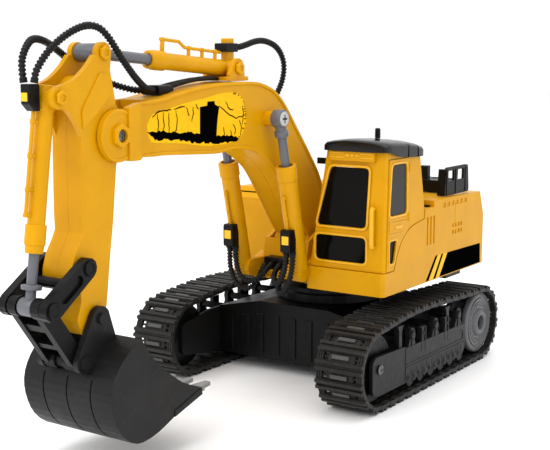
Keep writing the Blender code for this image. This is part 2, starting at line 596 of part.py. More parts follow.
def boom_outline(inset):
    """The boom's side view; inset draws its edges in to make the hollow."""
    top = smooth_through(BOOM_TOP, 1 if inset > 2.3 else 2)
    bottom = smooth_through(BOOM_BOTTOM, 1 if inset > 2.3 else 2)
    foot = arc(BOOM_FOOT, 11.0, 20, -205, 7)
    loop = top + foot + bottom
    if not inset:
        return loop
    out = []
    for i, point in enumerate(loop):
        p, before, after = Vector(point), Vector(loop[i - 1]), Vector(loop[(i + 1) % len(loop)])
        run = (after - before).normalized()
        out.append(tuple(p + Vector((run.y, -run.x)) * inset))
    return out


def make_boom_half(side, word):
    body = prism(boom_outline(0), "X", 0.15, BOOM_HALF)
    hollow = prism(boom_outline(2.4), "X", -1, BOOM_HALF - 3.2)
    panel = prism(boom_outline(2.2), "X", BOOM_HALF - 0.6, BOOM_HALF + 1)
    cheek = prism([(-205.5, 182.2), (-194, 184.9), (-194, 155.0), (-205.5, 154.8)]
                  + arc(STICK_PIVOT, NOSE_R, -60, -300, 14), "X", FORK_INNER, NOSE_HALF - 0.6)
    disc = rod_x(NOSE_HALF - 1, NOSE_HALF, STICK_PIVOT, NOSE_R - 1.2)
    band = prism([(-212.5, 183.6), (-200.0, 185.2), (-200.0, 154.6), (-212.5, 154.2)], "X", FORK_INNER,
                 NOSE_HALF + 0.4)
    boss = turned([(0, 6.2), (2.0, 6.2)], (NOSE_HALF - 1, *STICK_PIVOT), (1, 0, 0), 6)
    eye_boss = rod_x(BOOM_HALF - 2, 17.8, BOOM_CYL_EYE, 4.4, 12)
    foot_pin = rod_x(BOOM_HALF - 1, 13.6, BOOM_FOOT, 5.0, 12)
    floor = [box((0.15, -196.0, 156.2), (12, -193.6, 184.0))]
    node("boom_" + word, sided(side, [body] + floor), sided(side, [hollow, clear_nose_for_stick(), panel]),
         PAINT, at_x(0, BOOM_FOOT), sided(side, [cheek, band, disc, boss, eye_boss, foot_pin]))


def clear_nose_for_stick():
    """Room between the fork's cheeks for the stick's round top."""
    return prism([(-250, 120), (-196.4, 120), (-196.4, 215), (-250, 215)], "X", -1, FORK_INNER)


def make_boom_fittings():
    solids = [box((-9.6, -129.5, 192.9), (9.6, -108.5, 195.2))]
    for x in (-9.6, 7.2):
        solids.append(prism(link_outline((-119, 195.0), STICK_CYL_BASE, 7.5, 5.8, 6), "X", x, x + 2.4))
    for s in (-1, 1):
        nut = rod_x(9.4, 10.6, STICK_CYL_BASE, 2.6, 6)
        solids.append(nut if s > 0 else mirrored(nut))
    seat = prism(boom_outline(-GAP), "X", -20, 20)
    node("stick_cylinder_bracket", solids, [seat], PAINT, at_x(0, BOOM_FOOT))
    block = prism(rounded([(-6.2, 185.9), (6.2, 185.9), (6.2, 191.6), (-6.2, 191.6)], 2.4, 3),
                  "Y", -184.0, -172.0)
    node("hose_clamp", [block], [seat], DARK, at_x(0, BOOM_FOOT))


# ---------------------------------------------------------------- stick

def make_stick_half(side, word):
    front = [(-256.2, 101.0), (-252.9, 110.4), (-248.7, 121.5), (-247.8, 132.2), (-246.8, 160.0),
             (-246.4, 178.0)]
    crown = arc((-236.2, 188.0), 9.6, 180, 60, 6)
    rear = arc(STICK_PIVOT, 12.9, 70, -20, 6) + [(-219.2, 150.0), (-224.4, 135.3), (-227.3, 120.8),
                                                (-234.0, 84.0)]
    tip = arc(BUCKET_PIVOT, 8.2, 20, -110, 6) + [(-249.5, 71.5), (-252.6, 79.0), (-249.0, 92.0),
                                                 (-246.6, 99.5)]
    body = prism(front + crown + rear + tip, "X", 0.15, STICK_HALF)
    ear = prism(smooth_through([(-246.4, 168.0), (-249.6, 174.2), (-254.9, 180.6), (-260.0, 182.6)], 3)
                + arc(BUCKET_CYL_BASE, 5.6, -100, -280, 6)
                + smooth_through([(-262.5, 192.6), (-251.3, 195.6), (-242.5, 201.4), (-236.6, 207.5)], 3)
                + arc(STICK_CYL_EYE, 5.2, 190, -10, 8)
                + [(-225.6, 200.0), (-223.6, 191.0), (-222.0, 184.0), (-236.0, 170.0)],
                "X", EAR_INNER, STICK_HALF)
    pad = prism([(-233.4, 199.0), (-228.2, 198.0), (-226.4, 188.0), (-236.8, 178.8), (-246.0, 172.0),
                 (-246.6, 181.0)], "X", STICK_HALF - 1, STICK_HALF + 0.9)
    nuts = [rod_x(STICK_HALF - 1, STICK_HALF + 0.8, spot, 2.7, 6) for spot in (STICK_CYL_EYE, BUCKET_CYL_BASE)]
    boss = rod_x(STICK_HALF - 1, STICK_HALF + 0.2, STICK_PIVOT, 11, 14)
    hollow = prism([(-243.5, 128.0), (-243.5, 160.0), (-243.0, 180.0), (-232.0, 184.0), (-226.0, 150.0),
                    (-231.0, 128.0)], "X", -1, STICK_HALF - 2.4)
    node("stick_" + word, sided(side, [body, ear, pad, boss] + nuts), sided(side, [hollow]), PAINT,
         at_x(0, STICK_PIVOT))


# ---------------------------------------------------------------- cylinders

def gauge_rail(base, toward, offset, start, stop, posts, x=0.0):
    """The pipe that runs beside a cylinder on small posts; offset is a (Y, Z) step off its axis."""
    out = []
    o = Vector(offset)

    def at(distance, share):
        p = Vector(along(base, toward, distance)) + o * share
        return (x, p.x, p.y)

    out.append(rod(at(start, 1.0), at(stop, 1.0), 0.9, 6))
    for distance in posts:
        out.append(rod(at(distance, 0.35), at(distance, 1.08), 1.0, 6))
    return out


def make_boom_cylinder(side, word):
    x = BOOM_CYL_X
    base, eye = BOOM_CYL_BASE, BOOM_CYL_EYE
    line = (0, eye[0] - base[0], eye[1] - base[1])
    barrel = turned([(-4.0, 3.0), (-2.0, 5.6), (60.0, 5.6), (60.6, 6.2), (68.6, 6.2), (69.4, 5.8)],
                    at_x(x, base), line)
    heel = rod_x(x - 3.5, x + 3.5, base, 5.4, 14)
    flats = [box((x + s * 3.5 - (4 if s < 0 else 0), base[0] - 9, base[1] - 9),
                 (x + s * 3.5 + (4 if s > 0 else 0), base[0] + 9, base[1] + 6.6)) for s in (-1, 1)]
    bore = rod(at_x(x, along(base, eye, 26)), at_x(x, along(base, eye, 75)), 4.5, 14)
    side_step = Vector((-(eye[1] - base[1]), eye[0] - base[0])).normalized() * 6.7
    rail = gauge_rail(base, eye, tuple(side_step), 20, 52.4, (38, 50.8), x)
    spot = Vector(along(base, eye, 24)) + side_step * 1.15
    block = prism(rounded([(spot.x - 3.4, spot.y - 7.0), (spot.x + 3.4, spot.y - 7.0),
                           (spot.x + 3.4, spot.y + 7.0), (spot.x - 3.4, spot.y + 7.0)], 1.6, 3),
                  "X", x - 3.5, x + 3.5)
    node("boom_cylinder_tube_" + word, sided(side, [barrel, heel] + rail + [block]),
         sided(side, flats + [bore]), PAINT, at_x(side * x, base))
    length = (Vector(eye) - Vector(base)).length
    start = 45.0
    end = length - start
    shaft = turned([(0, 2.7), (end - 11.2, 2.7), (end - 10.8, 4.2), (end - 7.4, 4.2), (end - 7.0, 3.0),
                    (end - 4, 3.0)], at_x(x, along(base, eye, start)), line, 14)
    eye_ring = rod_x(18.1, 24.5, eye, 5.4, 14)
    hub = rod_x(24.1, 25.0, eye, 4.3, 14)
    dimple = rod_x(24.0, 27, eye, 2.6, 12)
    node("boom_cylinder_rod_" + word, sided(side, [shaft, eye_ring, hub]), sided(side, [dimple]), SATIN_GREY,
         at_x(side * x, eye))


def make_stick_cylinder():
    base, eye = STICK_CYL_BASE, STICK_CYL_EYE
    line = (0, eye[0] - base[0], eye[1] - base[1])
    length = (Vector(eye) - Vector(base)).length
    barrel = turned([(2.0, 4.6), (56.0, 4.6), (56.6, 5.3), (65.0, 5.3), (66.0, 4.9), (68.0, 4.9)],
                    at_x(0, base), line)
    heel = rod_x(-6.8, 6.8, base, 4.6, 14)
    bore = rod(at_x(0, along(base, eye, 12)), at_x(0, along(base, eye, 75)), 3.2, 14)
    up = Vector((eye[1] - base[1], -(eye[0] - base[0]))).normalized() * 8.6
    rail = gauge_rail(base, eye, tuple(up), 5, 38, (10, 22, 34))
    rail.append(rod(at_x(0, tuple(Vector(along(base, eye, 37.1)) + up * 0.97)),
                    at_x(0, tuple(Vector(along(base, eye, 43.4)) + up * 1.36)), 0.92, 6))
    rail.append(rod(at_x(0, tuple(Vector(along(base, eye, 42.1)) + up * 1.33)),
                    at_x(0, tuple(Vector(along(base, eye, 58.6)) + up * 1.33)), 0.95, 6))
    rail.append(rod(at_x(0, tuple(Vector(along(base, eye, 56.6)) + up * 0.4)),
                    at_x(0, tuple(Vector(along(base, eye, 56.6)) + up * 1.45)), 1.2, 6))
    post = box((-2.6, base[0] - 0.6, base[1] + 3), (2.6, base[0] + 5.4, base[1] + 17.0))
    cross = box((-4.2, base[0] - 4.6, base[1] + 9.2), (4.2, base[0] + 7.4, base[1] + 14.2))
    node("stick_cylinder_tube", [barrel, heel] + rail + [post, cross], [bore], PAINT, at_x(0, base))
    shaft = turned([(0, 2.9), (length - 30 - 3, 2.9)], at_x(0, along(base, eye, 30)), line, 14)
    ring = rod_x(-6.7, 6.7, eye, 4.6, 14)
    node("stick_cylinder_rod", [shaft, ring], look=SATIN_GREY, pivot=at_x(0, eye))


def make_bucket_cylinder():
    base, eye = BUCKET_CYL_BASE, LINK_END
    line = (0, eye[0] - base[0], eye[1] - base[1])
    length = (Vector(eye) - Vector(base)).length
    barrel = turned([(-6.0, 5.2), (6.0, 5.2), (6.6, 4.7), (60.0, 4.7), (60.6, 5.6), (70.0, 5.6), (70.4, 4.7),
                     (74.0, 4.7)], at_x(0, base), line)
    heel = rod_x(-6.7, 6.7, base, 4.6, 14)
    bore = rod(at_x(0, along(base, eye, 14)), at_x(0, along(base, eye, 80)), 2.9, 14)
    out = Vector((line[2], -line[1])).normalized() * 7.2
    rail = gauge_rail(base, eye, tuple(out), 4, 56, (12, 28, 44, 56))
    block = box((-3.3, base[0] - 13.3, base[1] - 6.1), (3.3, base[0] - 5.0, base[1] + 6.6))
    node("bucket_cylinder_tube", [barrel, heel] + rail + [block], [bore], PAINT, at_x(0, base))
    start = 34.0
    end = length - start
    shaft = turned([(0, 2.5), (end - 14.4, 2.5), (end - 14.0, 5.0), (end - 12.0, 5.0), (end - 11.6, 2.5),
                    (end - 2, 2.5)], at_x(0, along(base, eye, start)), line, 14)
    ring = rod_x(-4.6, 4.6, eye, 4.6, 14)
    node("bucket_cylinder_rod", [shaft, ring], look=SATIN_GREY, pivot=at_x(0, eye))


# ---------------------------------------------------------------- bucket and links

def make_links():
    """The two tipping arms, joined by a cross tube in front of the stick."""
    solids = []
    hollows = []
    for s in (-1, 1):
        arm = prism(link_outline(LINK_PIVOT, LINK_END, 5.2, 5.6, 6), "X", 11.2, 16.0)
        bosses = [rod_x(10.5, 16.6, LINK_PIVOT, 4.0, 12), rod_x(10.9, 16.6, LINK_END, 4.4, 12)]
        groove = prism(link_outline(along(LINK_PIVOT, LINK_END, 9), along(LINK_END, LINK_PIVOT, 9), 2.9, 2.9, 6),
                       "X", 14.4, 20)
        solids += [arm, *bosses] if s > 0 else [mirrored(bm) for bm in (arm, *bosses)]
        hollows.append(groove if s > 0 else mirrored(groove))
    middle = along(LINK_PIVOT, LINK_END, 12.5)
    solids.append(rod_x(-12, 12, middle, 2.9, 12))
    node("link_arms", solids, hollows, DARK, at_x(0, LINK_PIVOT))


def make_bucket_link():
    a, b = LINK_END, BUCKET_LINK_PIVOT
    solids = []
    for s in (-1, 1):
        plate = prism(link_outline(a, b, 4.6, 4.6, 6), "X", 6.4, 10.2)
        bush = rod_x(4.95, 10.5, a, 5.2, 14)
        foot = rod_x(3.0, 10.4, b, 4.9, 12)
        solids += [plate, bush, foot] if s > 0 else [mirrored(bm) for bm in (plate, bush, foot)]
    for distance, reach in ((11.0, 2.2), (24.0, 1.6)):
        centre = Vector(along(a, b, distance))
        run = (Vector(b) - Vector(a)).normalized()
        across = Vector((-run.y, run.x)) * 3.8
        corner = [centre - run * reach - across, centre + run * reach - across,
                  centre + run * reach + across, centre - run * reach + across]
        solids.append(prism([tuple(c) for c in corner], "X", -7.5, 7.5))
    solids.append(rod_x(-5, 5, b, 3.7, 12))
    node("bucket_link", solids, look=DARK, pivot=at_x(0, a))


BUCKET_BACK = [(-231.6, 66.8), (-239.5, 62.2), (-246.6, 55.4), (-250.9, 47.7), (-251.8, 39.9), (-249.7, 31.3),
               (-245.3, 23.4), (-237.3, 16.6), (-228.9, 14.6), (-216.4, 16.6), (-202.1, 22.0), (-181.0, 29.0)]
BUCKET_MOUTH = [(-181.0, 30.6), (-198.0, 38.5), (-213.0, 49.0), (-222.0, 58.0), (-229.0, 68.0)]


def bucket_back(inset):
    line = smooth_through(BUCKET_BACK, 1 if inset > 1 else 2)
    out = []
    for i, point in enumerate(line):
        before, after = Vector(line[max(i - 1, 0)]), Vector(line[min(i + 1, len(line) - 1)])
        run = (after - before).normalized()
        out.append(tuple(Vector(point) + Vector((-run.y, run.x)) * inset))
    return out


def midway(line):
    return [tuple((Vector(a) + Vector(b)) / 2) for a, b in zip(line, line[1:])]


def make_bucket():
    body = prism(bucket_back(0) + BUCKET_MOUTH, "X", -BUCKET_HALF, BUCKET_HALF)
    room = prism(bucket_back(BUCKET_WALL) + [(-160.0, 34.0), (-190.0, 80.0), (-212.0, 86.0)], "X",
                 BUCKET_WALL - BUCKET_HALF, BUCKET_HALF - BUCKET_WALL)
    outer, inner = midway(bucket_back(-1.0))[5:17], midway(bucket_back(0.5))[5:17]
    grooves = [prism(outer + inner[::-1], "X", x - 0.45, x + 0.45) for x in (-16.1, 0.0, 16.1)]
    lips = [prism([(-181.0, 27.6), (-181.0, 31.2), (-204.0, 24.4), (-204.0, 21.2)], "X",
                  -BUCKET_HALF - 0.5, BUCKET_HALF + 0.5)]
    ears = []
    for x in (-BUCKET_EAR_OUTER, BUCKET_EAR_INNER):
        plate = prism(arc(BUCKET_PIVOT, 6.2, 30, 150, 8) + arc(BUCKET_LINK_PIVOT, 5.4, 160, 270, 8)
                      + [(-244.0, 52.0), (-236.0, 60.0), (-228.6, 64.0)], "X", x,
                      x + BUCKET_EAR_OUTER - BUCKET_EAR_INNER)
        ears.append(plate)
    for s in (-1, 1):
        for spot, radius in ((BUCKET_PIVOT, 3.0), (BUCKET_LINK_PIVOT, 3.8)):
            nut = rod_x(BUCKET_EAR_OUTER - 1, BUCKET_EAR_OUTER + 1.4, spot, radius, 6)
            ears.append(nut if s > 0 else mirrored(nut))
    node("bucket_shell", [body] + lips + ears, [room] + grooves, DARK, at_x(0, BUCKET_PIVOT))
    edge_half = BUCKET_HALF - 0.6
    teeth = [box((-edge_half, -180.6, 28.6), (edge_half, -177.5, 30.1))]
    for k in range(5):
        x = -24.0 + 12.0 * k
        tooth = prism([(x - 3.4, -178.5), (x + 3.4, -178.5), (x + 1.7, -167.8), (x - 1.7, -167.8)], "Z", 28.4, 30.6)
        teeth.append(tooth)
    node("bucket_teeth", teeth, look=LIGHT_GREY, pivot=at_x(0, BUCKET_PIVOT))


# ---------------------------------------------------------------- hoses

HOSE_R = 1.9
LINE_R = 1.3
BUCKET_HOSE_RIGHT = [(-3.0, -270.6, 194.6), (-3.5, -270.8, 199.6), (-4.5, -269.6, 205.8), (-6.0, -265.0, 211.8),
                     (-8.5, -258.4, 214.8), (-11.4, -248.4, 214.0), (-14.2, -236.9, 209.6), (-15.6, -223.3, 202.4),
                     (-14.2, -210.0, 196.0), (-10.5, -199.0, 191.8), (-5.6, -191.4, 189.4), (-3.0, -185.2, 188.9)]
BUCKET_HOSE_LEFT = [(3.0, -269.8, 194.6), (3.4, -268.4, 200.4), (4.0, -262.6, 207.8), (5.0, -255.6, 213.8),
                    (6.2, -247.0, 218.8), (7.4, -238.5, 221.4), (8.4, -231.2, 220.4), (9.2, -226.0, 216.4),
                    (9.6, -221.6, 211.4), (9.4, -216.6, 206.0), (8.8, -210.6, 200.6), (7.4, -203.6, 195.6),
                    (4.6, -193.4, 190.6), (3.0, -185.2, 188.9)]
STICK_LINE_LEFT = [(3.2, -171.5, 190.6), (3.3, -163.5, 192.2), (3.5, -152.0, 193.9), (3.6, -141.4, 194.6),
                   (3.4, -130.2, 194.4)]
STICK_LINE_RIGHT = [(-3.2, -171.5, 190.4), (-3.4, -163.6, 191.6), (-3.5, -153.2, 192.9), (-3.6, -143.4, 193.8),
                    (-3.4, -130.2, 194.2)]
STICK_HOSE = [(0.0, -110.0, 211.9), (0.0, -104.0, 212.1), (0.0, -97.0, 213.4), (0.0, -89.1, 215.2),
              (0.0, -81.2, 215.9), (0.0, -73.4, 214.9), (0.0, -66.0, 212.4), (0.0, -60.4, 208.0),
              (0.0, -57.4, 202.4), (0.0, -57.6, 196.0), (0.0, -60.4, 189.6), (0.0, -66.6, 182.0),
              (0.0, -70.6, 178.6)]
BOOM_HOSE_OUTER = [(23.4, -82.6, 88.4), (23.4, -82.8, 83.0), (22.6, -83.2, 76.2), (20.4, -83.0, 69.4),
                   (17.0, -82.4, 64.8), (13.0, -80.6, 63.0), (9.8, -77.4, 64.4), (8.2, -73.6, 68.6),
                   (7.7, -70.4, 73.4), (7.6, -66.4, 76.6)]
BOOM_HOSE_INNER = [(19.0, -82.6, 88.4), (18.8, -82.9, 83.4), (17.6, -83.1, 77.0), (15.0, -83.0, 71.4),
                   (11.6, -81.2, 68.6), (7.8, -78.6, 68.6), (4.6, -75.0, 71.2), (3.4, -71.0, 74.8),
                   (3.0, -66.1, 77.0)]


def other_side(route):
    return [(-x, y, z) for x, y, z in route]


def make_hoses():
    """Each hose runs from a connector on a moving cylinder to the next body inward."""
    hose("bucket_hose_left", BUCKET_HOSE_LEFT, HOSE_R, CORD)
    hose("bucket_hose_right", BUCKET_HOSE_RIGHT, HOSE_R, CORD)
    hose("stick_line_left", STICK_LINE_LEFT, LINE_R, CORD)
    hose("stick_line_right", STICK_LINE_RIGHT, LINE_R, CORD)
    hose("stick_cylinder_hose", STICK_HOSE, HOSE_R, CORD)
    for name, route in (("outer", BOOM_HOSE_OUTER), ("inner", BOOM_HOSE_INNER)):
        hose("boom_hose_" + name + "_left", route, HOSE_R, CORD)
        hose("boom_hose_" + name + "_right", other_side(route), HOSE_R, CORD)


# ---------------------------------------------------------------- assembly

clear_scene()
PAINT = material("yellow_plastic", YELLOW, 0.38)
DARK = material("black_plastic", BLACK, 0.5)
RUBBERY = material("track_plastic", BLACK, 0.6)
SATIN_GREY = material("grey_plastic", GREY, 0.35)
LIGHT_GREY = material("light_grey_plastic", STEEL, 0.4)
SMOKED = material("smoked_window", (0.01, 0.01, 0.011), 0.12)
METAL = material("bare_steel", STEEL, 0.3, 1.0)
BOARD = material("green_board", GREEN, 0.5)
CORD = material("black_hose", BLACK, 0.55)

both_sides(make_belt)
both_sides(make_track_frame)
both_sides(make_idler)
both_sides(make_sprocket)
make_chassis()
both_sides(make_drive_motor)
make_house_shell()
make_house_floor()
make_cab()
make_door()
make_cab_roof()
make_deck_parts()
make_boom_bracket()
make_manifold()
make_house_insides()
both_sides(make_boom_half)
make_boom_fittings()
both_sides(make_stick_half)
both_sides(make_boom_cylinder)
make_stick_cylinder()
make_bucket_cylinder()
make_links()
make_bucket_link()
make_bucket()
make_hoses()
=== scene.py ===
"""The finished look of the toy excavator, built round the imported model.

Lengths are in millimetres, with Y measured from the slew axis, until a piece is made. Blender works in
metres in the row's frame.
"""

import json
import math
import random

import bmesh
import bpy
from mathutils import Matrix, Vector


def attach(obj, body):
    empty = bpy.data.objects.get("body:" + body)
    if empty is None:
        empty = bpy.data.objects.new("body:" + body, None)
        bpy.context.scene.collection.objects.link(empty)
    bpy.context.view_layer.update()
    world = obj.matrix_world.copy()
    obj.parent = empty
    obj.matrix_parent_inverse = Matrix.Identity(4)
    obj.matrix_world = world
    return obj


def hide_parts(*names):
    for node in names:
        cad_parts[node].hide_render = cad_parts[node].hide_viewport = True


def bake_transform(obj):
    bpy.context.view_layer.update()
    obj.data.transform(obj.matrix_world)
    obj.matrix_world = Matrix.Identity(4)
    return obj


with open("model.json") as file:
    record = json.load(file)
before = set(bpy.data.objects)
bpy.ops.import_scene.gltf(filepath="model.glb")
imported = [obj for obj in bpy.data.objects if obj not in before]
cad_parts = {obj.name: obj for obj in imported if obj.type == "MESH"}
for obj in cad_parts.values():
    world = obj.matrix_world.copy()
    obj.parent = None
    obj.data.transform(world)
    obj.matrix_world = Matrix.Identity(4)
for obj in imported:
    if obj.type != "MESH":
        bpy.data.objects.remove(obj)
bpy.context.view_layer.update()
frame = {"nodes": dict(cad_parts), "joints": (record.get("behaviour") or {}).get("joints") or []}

MM = 0.001
GAP = 0.3


def joint_place(name):
    return Vector(next(j["pos_m"] for j in frame["joints"] if j["name"] == name)) / MM


SLEW_Y = joint_place("swing").y


def axis_of(name):
    """(Y, Z) of a joint's axis, Y from the slew axis."""
    place = joint_place(name)
    return (place.y - SLEW_Y, place.z)


BOOM_FOOT = axis_of("boom_lift")
STICK_PIVOT = axis_of("stick_crowd")
BUCKET_PIVOT = axis_of("bucket_curl")
BOOM_CYL_BASE = axis_of("left_lift_tube_swing")
BOOM_CYL_EYE = axis_of("left_lift_rod_swing")
BOOM_CYL_X = joint_place("left_lift_tube_swing").x
STICK_CYL_BASE = axis_of("crowd_tube_swing")
STICK_CYL_EYE = (-229.8, 208.5)
BUCKET_CYL_BASE = axis_of("curl_tube_swing")
LINK_PIVOT = axis_of("tipping_arms_swing")
LINK_END = axis_of("tipping_link_swing")
TRACK_X = joint_place("left_sprocket_spin").x


# ---- camera, light, floor

LENS_MM = 73.5
CAMERA_PLACE = (389.67, -640.51, 207.19)
CAMERA_AZIMUTH = math.radians(34.19)
CAMERA_ELEVATION = math.radians(8.59)
WORLD_STRENGTH = 1.03
FLOOR_REACH_M = 6.0
FLOOR_DROP_M = 0.0002


def make_camera():
    camera = bpy.data.objects.new("camera", bpy.data.cameras.new("camera"))
    bpy.context.scene.collection.objects.link(camera)
    bpy.context.scene.camera = camera
    camera.data.sensor_width = 36.0
    camera.data.lens = LENS_MM
    camera.data.clip_start = 0.01
    camera.data.clip_end = 50.0
    x, y, z = CAMERA_PLACE
    camera.location = Vector((x, SLEW_Y + y, z)) * MM
    level = math.cos(CAMERA_ELEVATION)
    look = Vector((-math.sin(CAMERA_AZIMUTH) * level, math.cos(CAMERA_AZIMUTH) * level,
                   -math.sin(CAMERA_ELEVATION)))
    camera.rotation_mode = "QUATERNION"
    camera.rotation_quaternion = look.to_track_quat("-Z", "Y")


def area_light(name, place, target, size, watts):
    lamp = bpy.data.lights.new(name, "AREA")
    lamp.shape = "RECTANGLE"
    lamp.size, lamp.size_y = size
    lamp.energy = watts
    made = bpy.data.objects.new(name, lamp)
    made.location = place
    made.rotation_mode = "QUATERNION"
    made.rotation_quaternion = (Vector(target) - Vector(place)).to_track_quat("-Z", "Y")
    bpy.context.scene.collection.objects.link(made)


def make_stage():
    world = bpy.data.worlds.new("studio")
    world.use_nodes = True
    sky = world.node_tree.nodes["Background"]
    sky.inputs["Color"].default_value = (1.0, 1.0, 1.0, 1.0)
    sky.inputs["Strength"].default_value = WORLD_STRENGTH
    bpy.context.scene.world = world
    bpy.context.scene.view_settings.view_transform = "Standard"
    middle = (0.0, 0.0, 0.09)
    area_light("key", (-0.15, -1.1, 1.15), middle, (1.5, 1.2), 12.5)
    area_light("side", (1.35, -0.2, 0.8), middle, (0.8, 0.8), 1.5)
    area_light("top", (0.0, 0.25, 1.5), middle, (1.3, 1.3), 9.0)
    floor = bpy.data.meshes.new("floor")
    corners = [(x * FLOOR_REACH_M, y * FLOOR_REACH_M, -FLOOR_DROP_M)
               for x, y in ((-1, -1), (1, -1), (1, 1), (-1, 1))]
    floor.from_pydata(corners, [], [(0, 1, 2, 3)])
    made = bpy.data.objects.new("floor", floor)
    bpy.context.scene.collection.objects.link(made)
    floor.materials.append(procedural("studio_floor", (0.97, 0.97, 0.97), 0.55, variation=0.01, bump=0.0))


# ---- materials

def procedural(name, colour, roughness, variation=0.05, patch=60.0, grain=1500.0, bump=0.06, metallic=0.0,
               rough_spread=0.06, subsurface=0.0, scuffs=0.0, scuff_colour=(0.2, 0.2, 0.2), gloss=0.5):
    """Moulded plastic or metal: colour drifts over large patches, gloss over small ones, with a fine grain.

    scuffs lays pale dusty marks over it.
    """
    made = bpy.data.materials.new(name)
    made.use_nodes = True
    nodes, links = made.node_tree.nodes, made.node_tree.links
    shader = nodes["Principled BSDF"]
    shader.inputs["Metallic"].default_value = metallic
    shader.inputs["Specular IOR Level"].default_value = gloss
    shader.inputs["Subsurface Weight"].default_value = subsurface
    if subsurface:
        shader.inputs["Subsurface Radius"].default_value = (1.0, 0.35, 0.05)
        shader.inputs["Subsurface Scale"].default_value = 0.003
    place = nodes.new("ShaderNodeTexCoord")

    def noise(scale, detail):
        texture = nodes.new("ShaderNodeTexNoise")
        texture.inputs["Scale"].default_value = scale
        texture.inputs["Detail"].default_value = detail
        links.new(place.outputs["Object"], texture.inputs["Vector"])
        return texture.outputs["Fac"]

    def spread(source, low, high, start=0.3, end=0.7):
        ranged = nodes.new("ShaderNodeMapRange")
        ranged.inputs["From Min"].default_value = start
        ranged.inputs["From Max"].default_value = end
        ranged.inputs["To Min"].default_value = low
        ranged.inputs["To Max"].default_value = high
        links.new(source, ranged.inputs["Value"])
        return ranged.outputs["Result"]

    def mix(amount, a, b):
        mixed = nodes.new("ShaderNodeMix")
        mixed.data_type = "RGBA"
        links.new(amount, mixed.inputs[0])
        for value, socket in ((a, mixed.inputs[6]), (b, mixed.inputs[7])):
            if isinstance(value, tuple):
                socket.default_value = (*value, 1.0)
            else:
                links.new(value, socket)
        return mixed.outputs[2]

    dark = tuple(c * (1 - variation) for c in colour)
    light = tuple(min(1.0, c * (1 + variation)) for c in colour)
    shade = mix(spread(noise(patch, 3.0), 0.0, 1.0), dark, light)
    if scuffs:
        shade = mix(spread(noise(260.0, 6.0), 0.0, scuffs, 0.55, 0.75), shade, scuff_colour)
    links.new(shade, shader.inputs["Base Color"])
    links.new(spread(noise(patch * 4, 4.0), roughness - rough_spread, roughness + rough_spread),
              shader.inputs["Roughness"])
    if bump:
        relief = nodes.new("ShaderNodeBump")
        relief.inputs["Strength"].default_value = bump
        relief.inputs["Distance"].default_value = 0.0002
        links.new(noise(grain, 3.0), relief.inputs["Height"])
        links.new(relief.outputs["Normal"], shader.inputs["Normal"])
    return made


YELLOW = procedural("yellow_abs", (0.615, 0.294, 0.0008), 0.34, variation=0.05, subsurface=0.06, bump=0.05,
                    gloss=0.14)
YELLOW_BRIGHT = procedural("yellow_label", (0.86, 0.50, 0.010), 0.3, variation=0.03, bump=0.03, gloss=0.3)
# Painted highlight: a lighter copy of the body yellow for the window rims, grip, visor marks and door lines,
# standing in for light along their edges.
RIM_PAINTED_HIGHLIGHT = procedural("yellow_painted_highlight", (0.74, 0.38, 0.006), 0.3, variation=0.05, bump=0.03, gloss=0.4)
STICKER = procedural("sticker_yellow", (0.86, 0.46, 0.001), 0.3, variation=0.05, patch=90.0, bump=0.03,
                     gloss=0.1)
STICKER_BLACK = procedural("sticker_black", (0.001, 0.001, 0.001), 0.4, variation=0.2, bump=0.03,
                           gloss=0.0)
BLACK = procedural("black_abs", (0.003, 0.003, 0.003), 0.36, variation=0.25, bump=0.1, gloss=0.14,
                   scuffs=0.08, scuff_colour=(0.06, 0.06, 0.06))
CHARCOAL = procedural("charcoal_plastic", (0.010, 0.0095, 0.0095), 0.42, variation=0.2, bump=0.12, gloss=0.16,
                      scuffs=0.1, scuff_colour=(0.07, 0.066, 0.06))
FRAME_GREY = procedural("frame_plastic", (0.008, 0.008, 0.008), 0.42, variation=0.15, bump=0.1, gloss=0.18)
TRACK = procedural("track_plastic_look", (0.010, 0.009, 0.008), 0.5, variation=0.3, patch=150.0, bump=0.2,
                   gloss=0.28, scuffs=0.22, scuff_colour=(0.07, 0.065, 0.058))
# Painted highlight: the raised belt studs are a lighter, glossier grey than the black belt, standing in for
# the light they catch.
STUD_PAINTED_HIGHLIGHT = procedural("track_stud_painted_highlight", (0.055, 0.055, 0.055), 0.4, variation=0.2, bump=0.1, gloss=0.35)
ROOF = procedural("roof_black", (0.004, 0.004, 0.004), 0.2, variation=0.2, bump=0.02, gloss=0.3)
WINDOW = procedural("window_black", (0.003, 0.0026, 0.0022), 0.07, variation=0.2, bump=0.0, rough_spread=0.02,
                    gloss=0.06)
SIDE_WINDOW = procedural("side_window_smoke", (0.010, 0.008, 0.006), 0.07, variation=0.2, bump=0.0,
                         rough_spread=0.02, gloss=0.2)
GREY = procedural("rod_grey", (0.11, 0.115, 0.13), 0.32, variation=0.06, bump=0.05, gloss=0.4)
PALE_GREY = procedural("pale_grey", (0.45, 0.45, 0.43), 0.4, variation=0.08, bump=0.06)
SPROCKET_GREY = procedural("sprocket_grey", (0.085, 0.087, 0.092), 0.42, variation=0.12, bump=0.12,
                           scuffs=0.15, scuff_colour=(0.03, 0.03, 0.03))
TOOTH = procedural("tooth_grey", (0.17, 0.17, 0.16), 0.42, variation=0.12, bump=0.12, scuffs=0.3,
                   scuff_colour=(0.1, 0.1, 0.09))
STEEL = procedural("screw_steel", (0.55, 0.54, 0.5), 0.28, variation=0.08, bump=0.05, metallic=1.0)
DARK_STEEL = procedural("dark_screw", (0.12, 0.12, 0.12), 0.3, variation=0.2, bump=0.05, metallic=1.0)
RUBBER = procedural("hose_black", (0.003, 0.003, 0.003), 0.42, variation=0.2, bump=0.08, gloss=0.2)
BOARD = procedural("board_green", (0.02, 0.16, 0.05), 0.5, variation=0.15, bump=0.05)


# ---- mesh tools

def place(axis, u, v, w):
    """The point whose coordinate along the axis is w; u and v are the other two in X, Y, Z order."""
    return {"X": (w, u, v), "Y": (u, w, v), "Z": (u, v, w)}[axis]


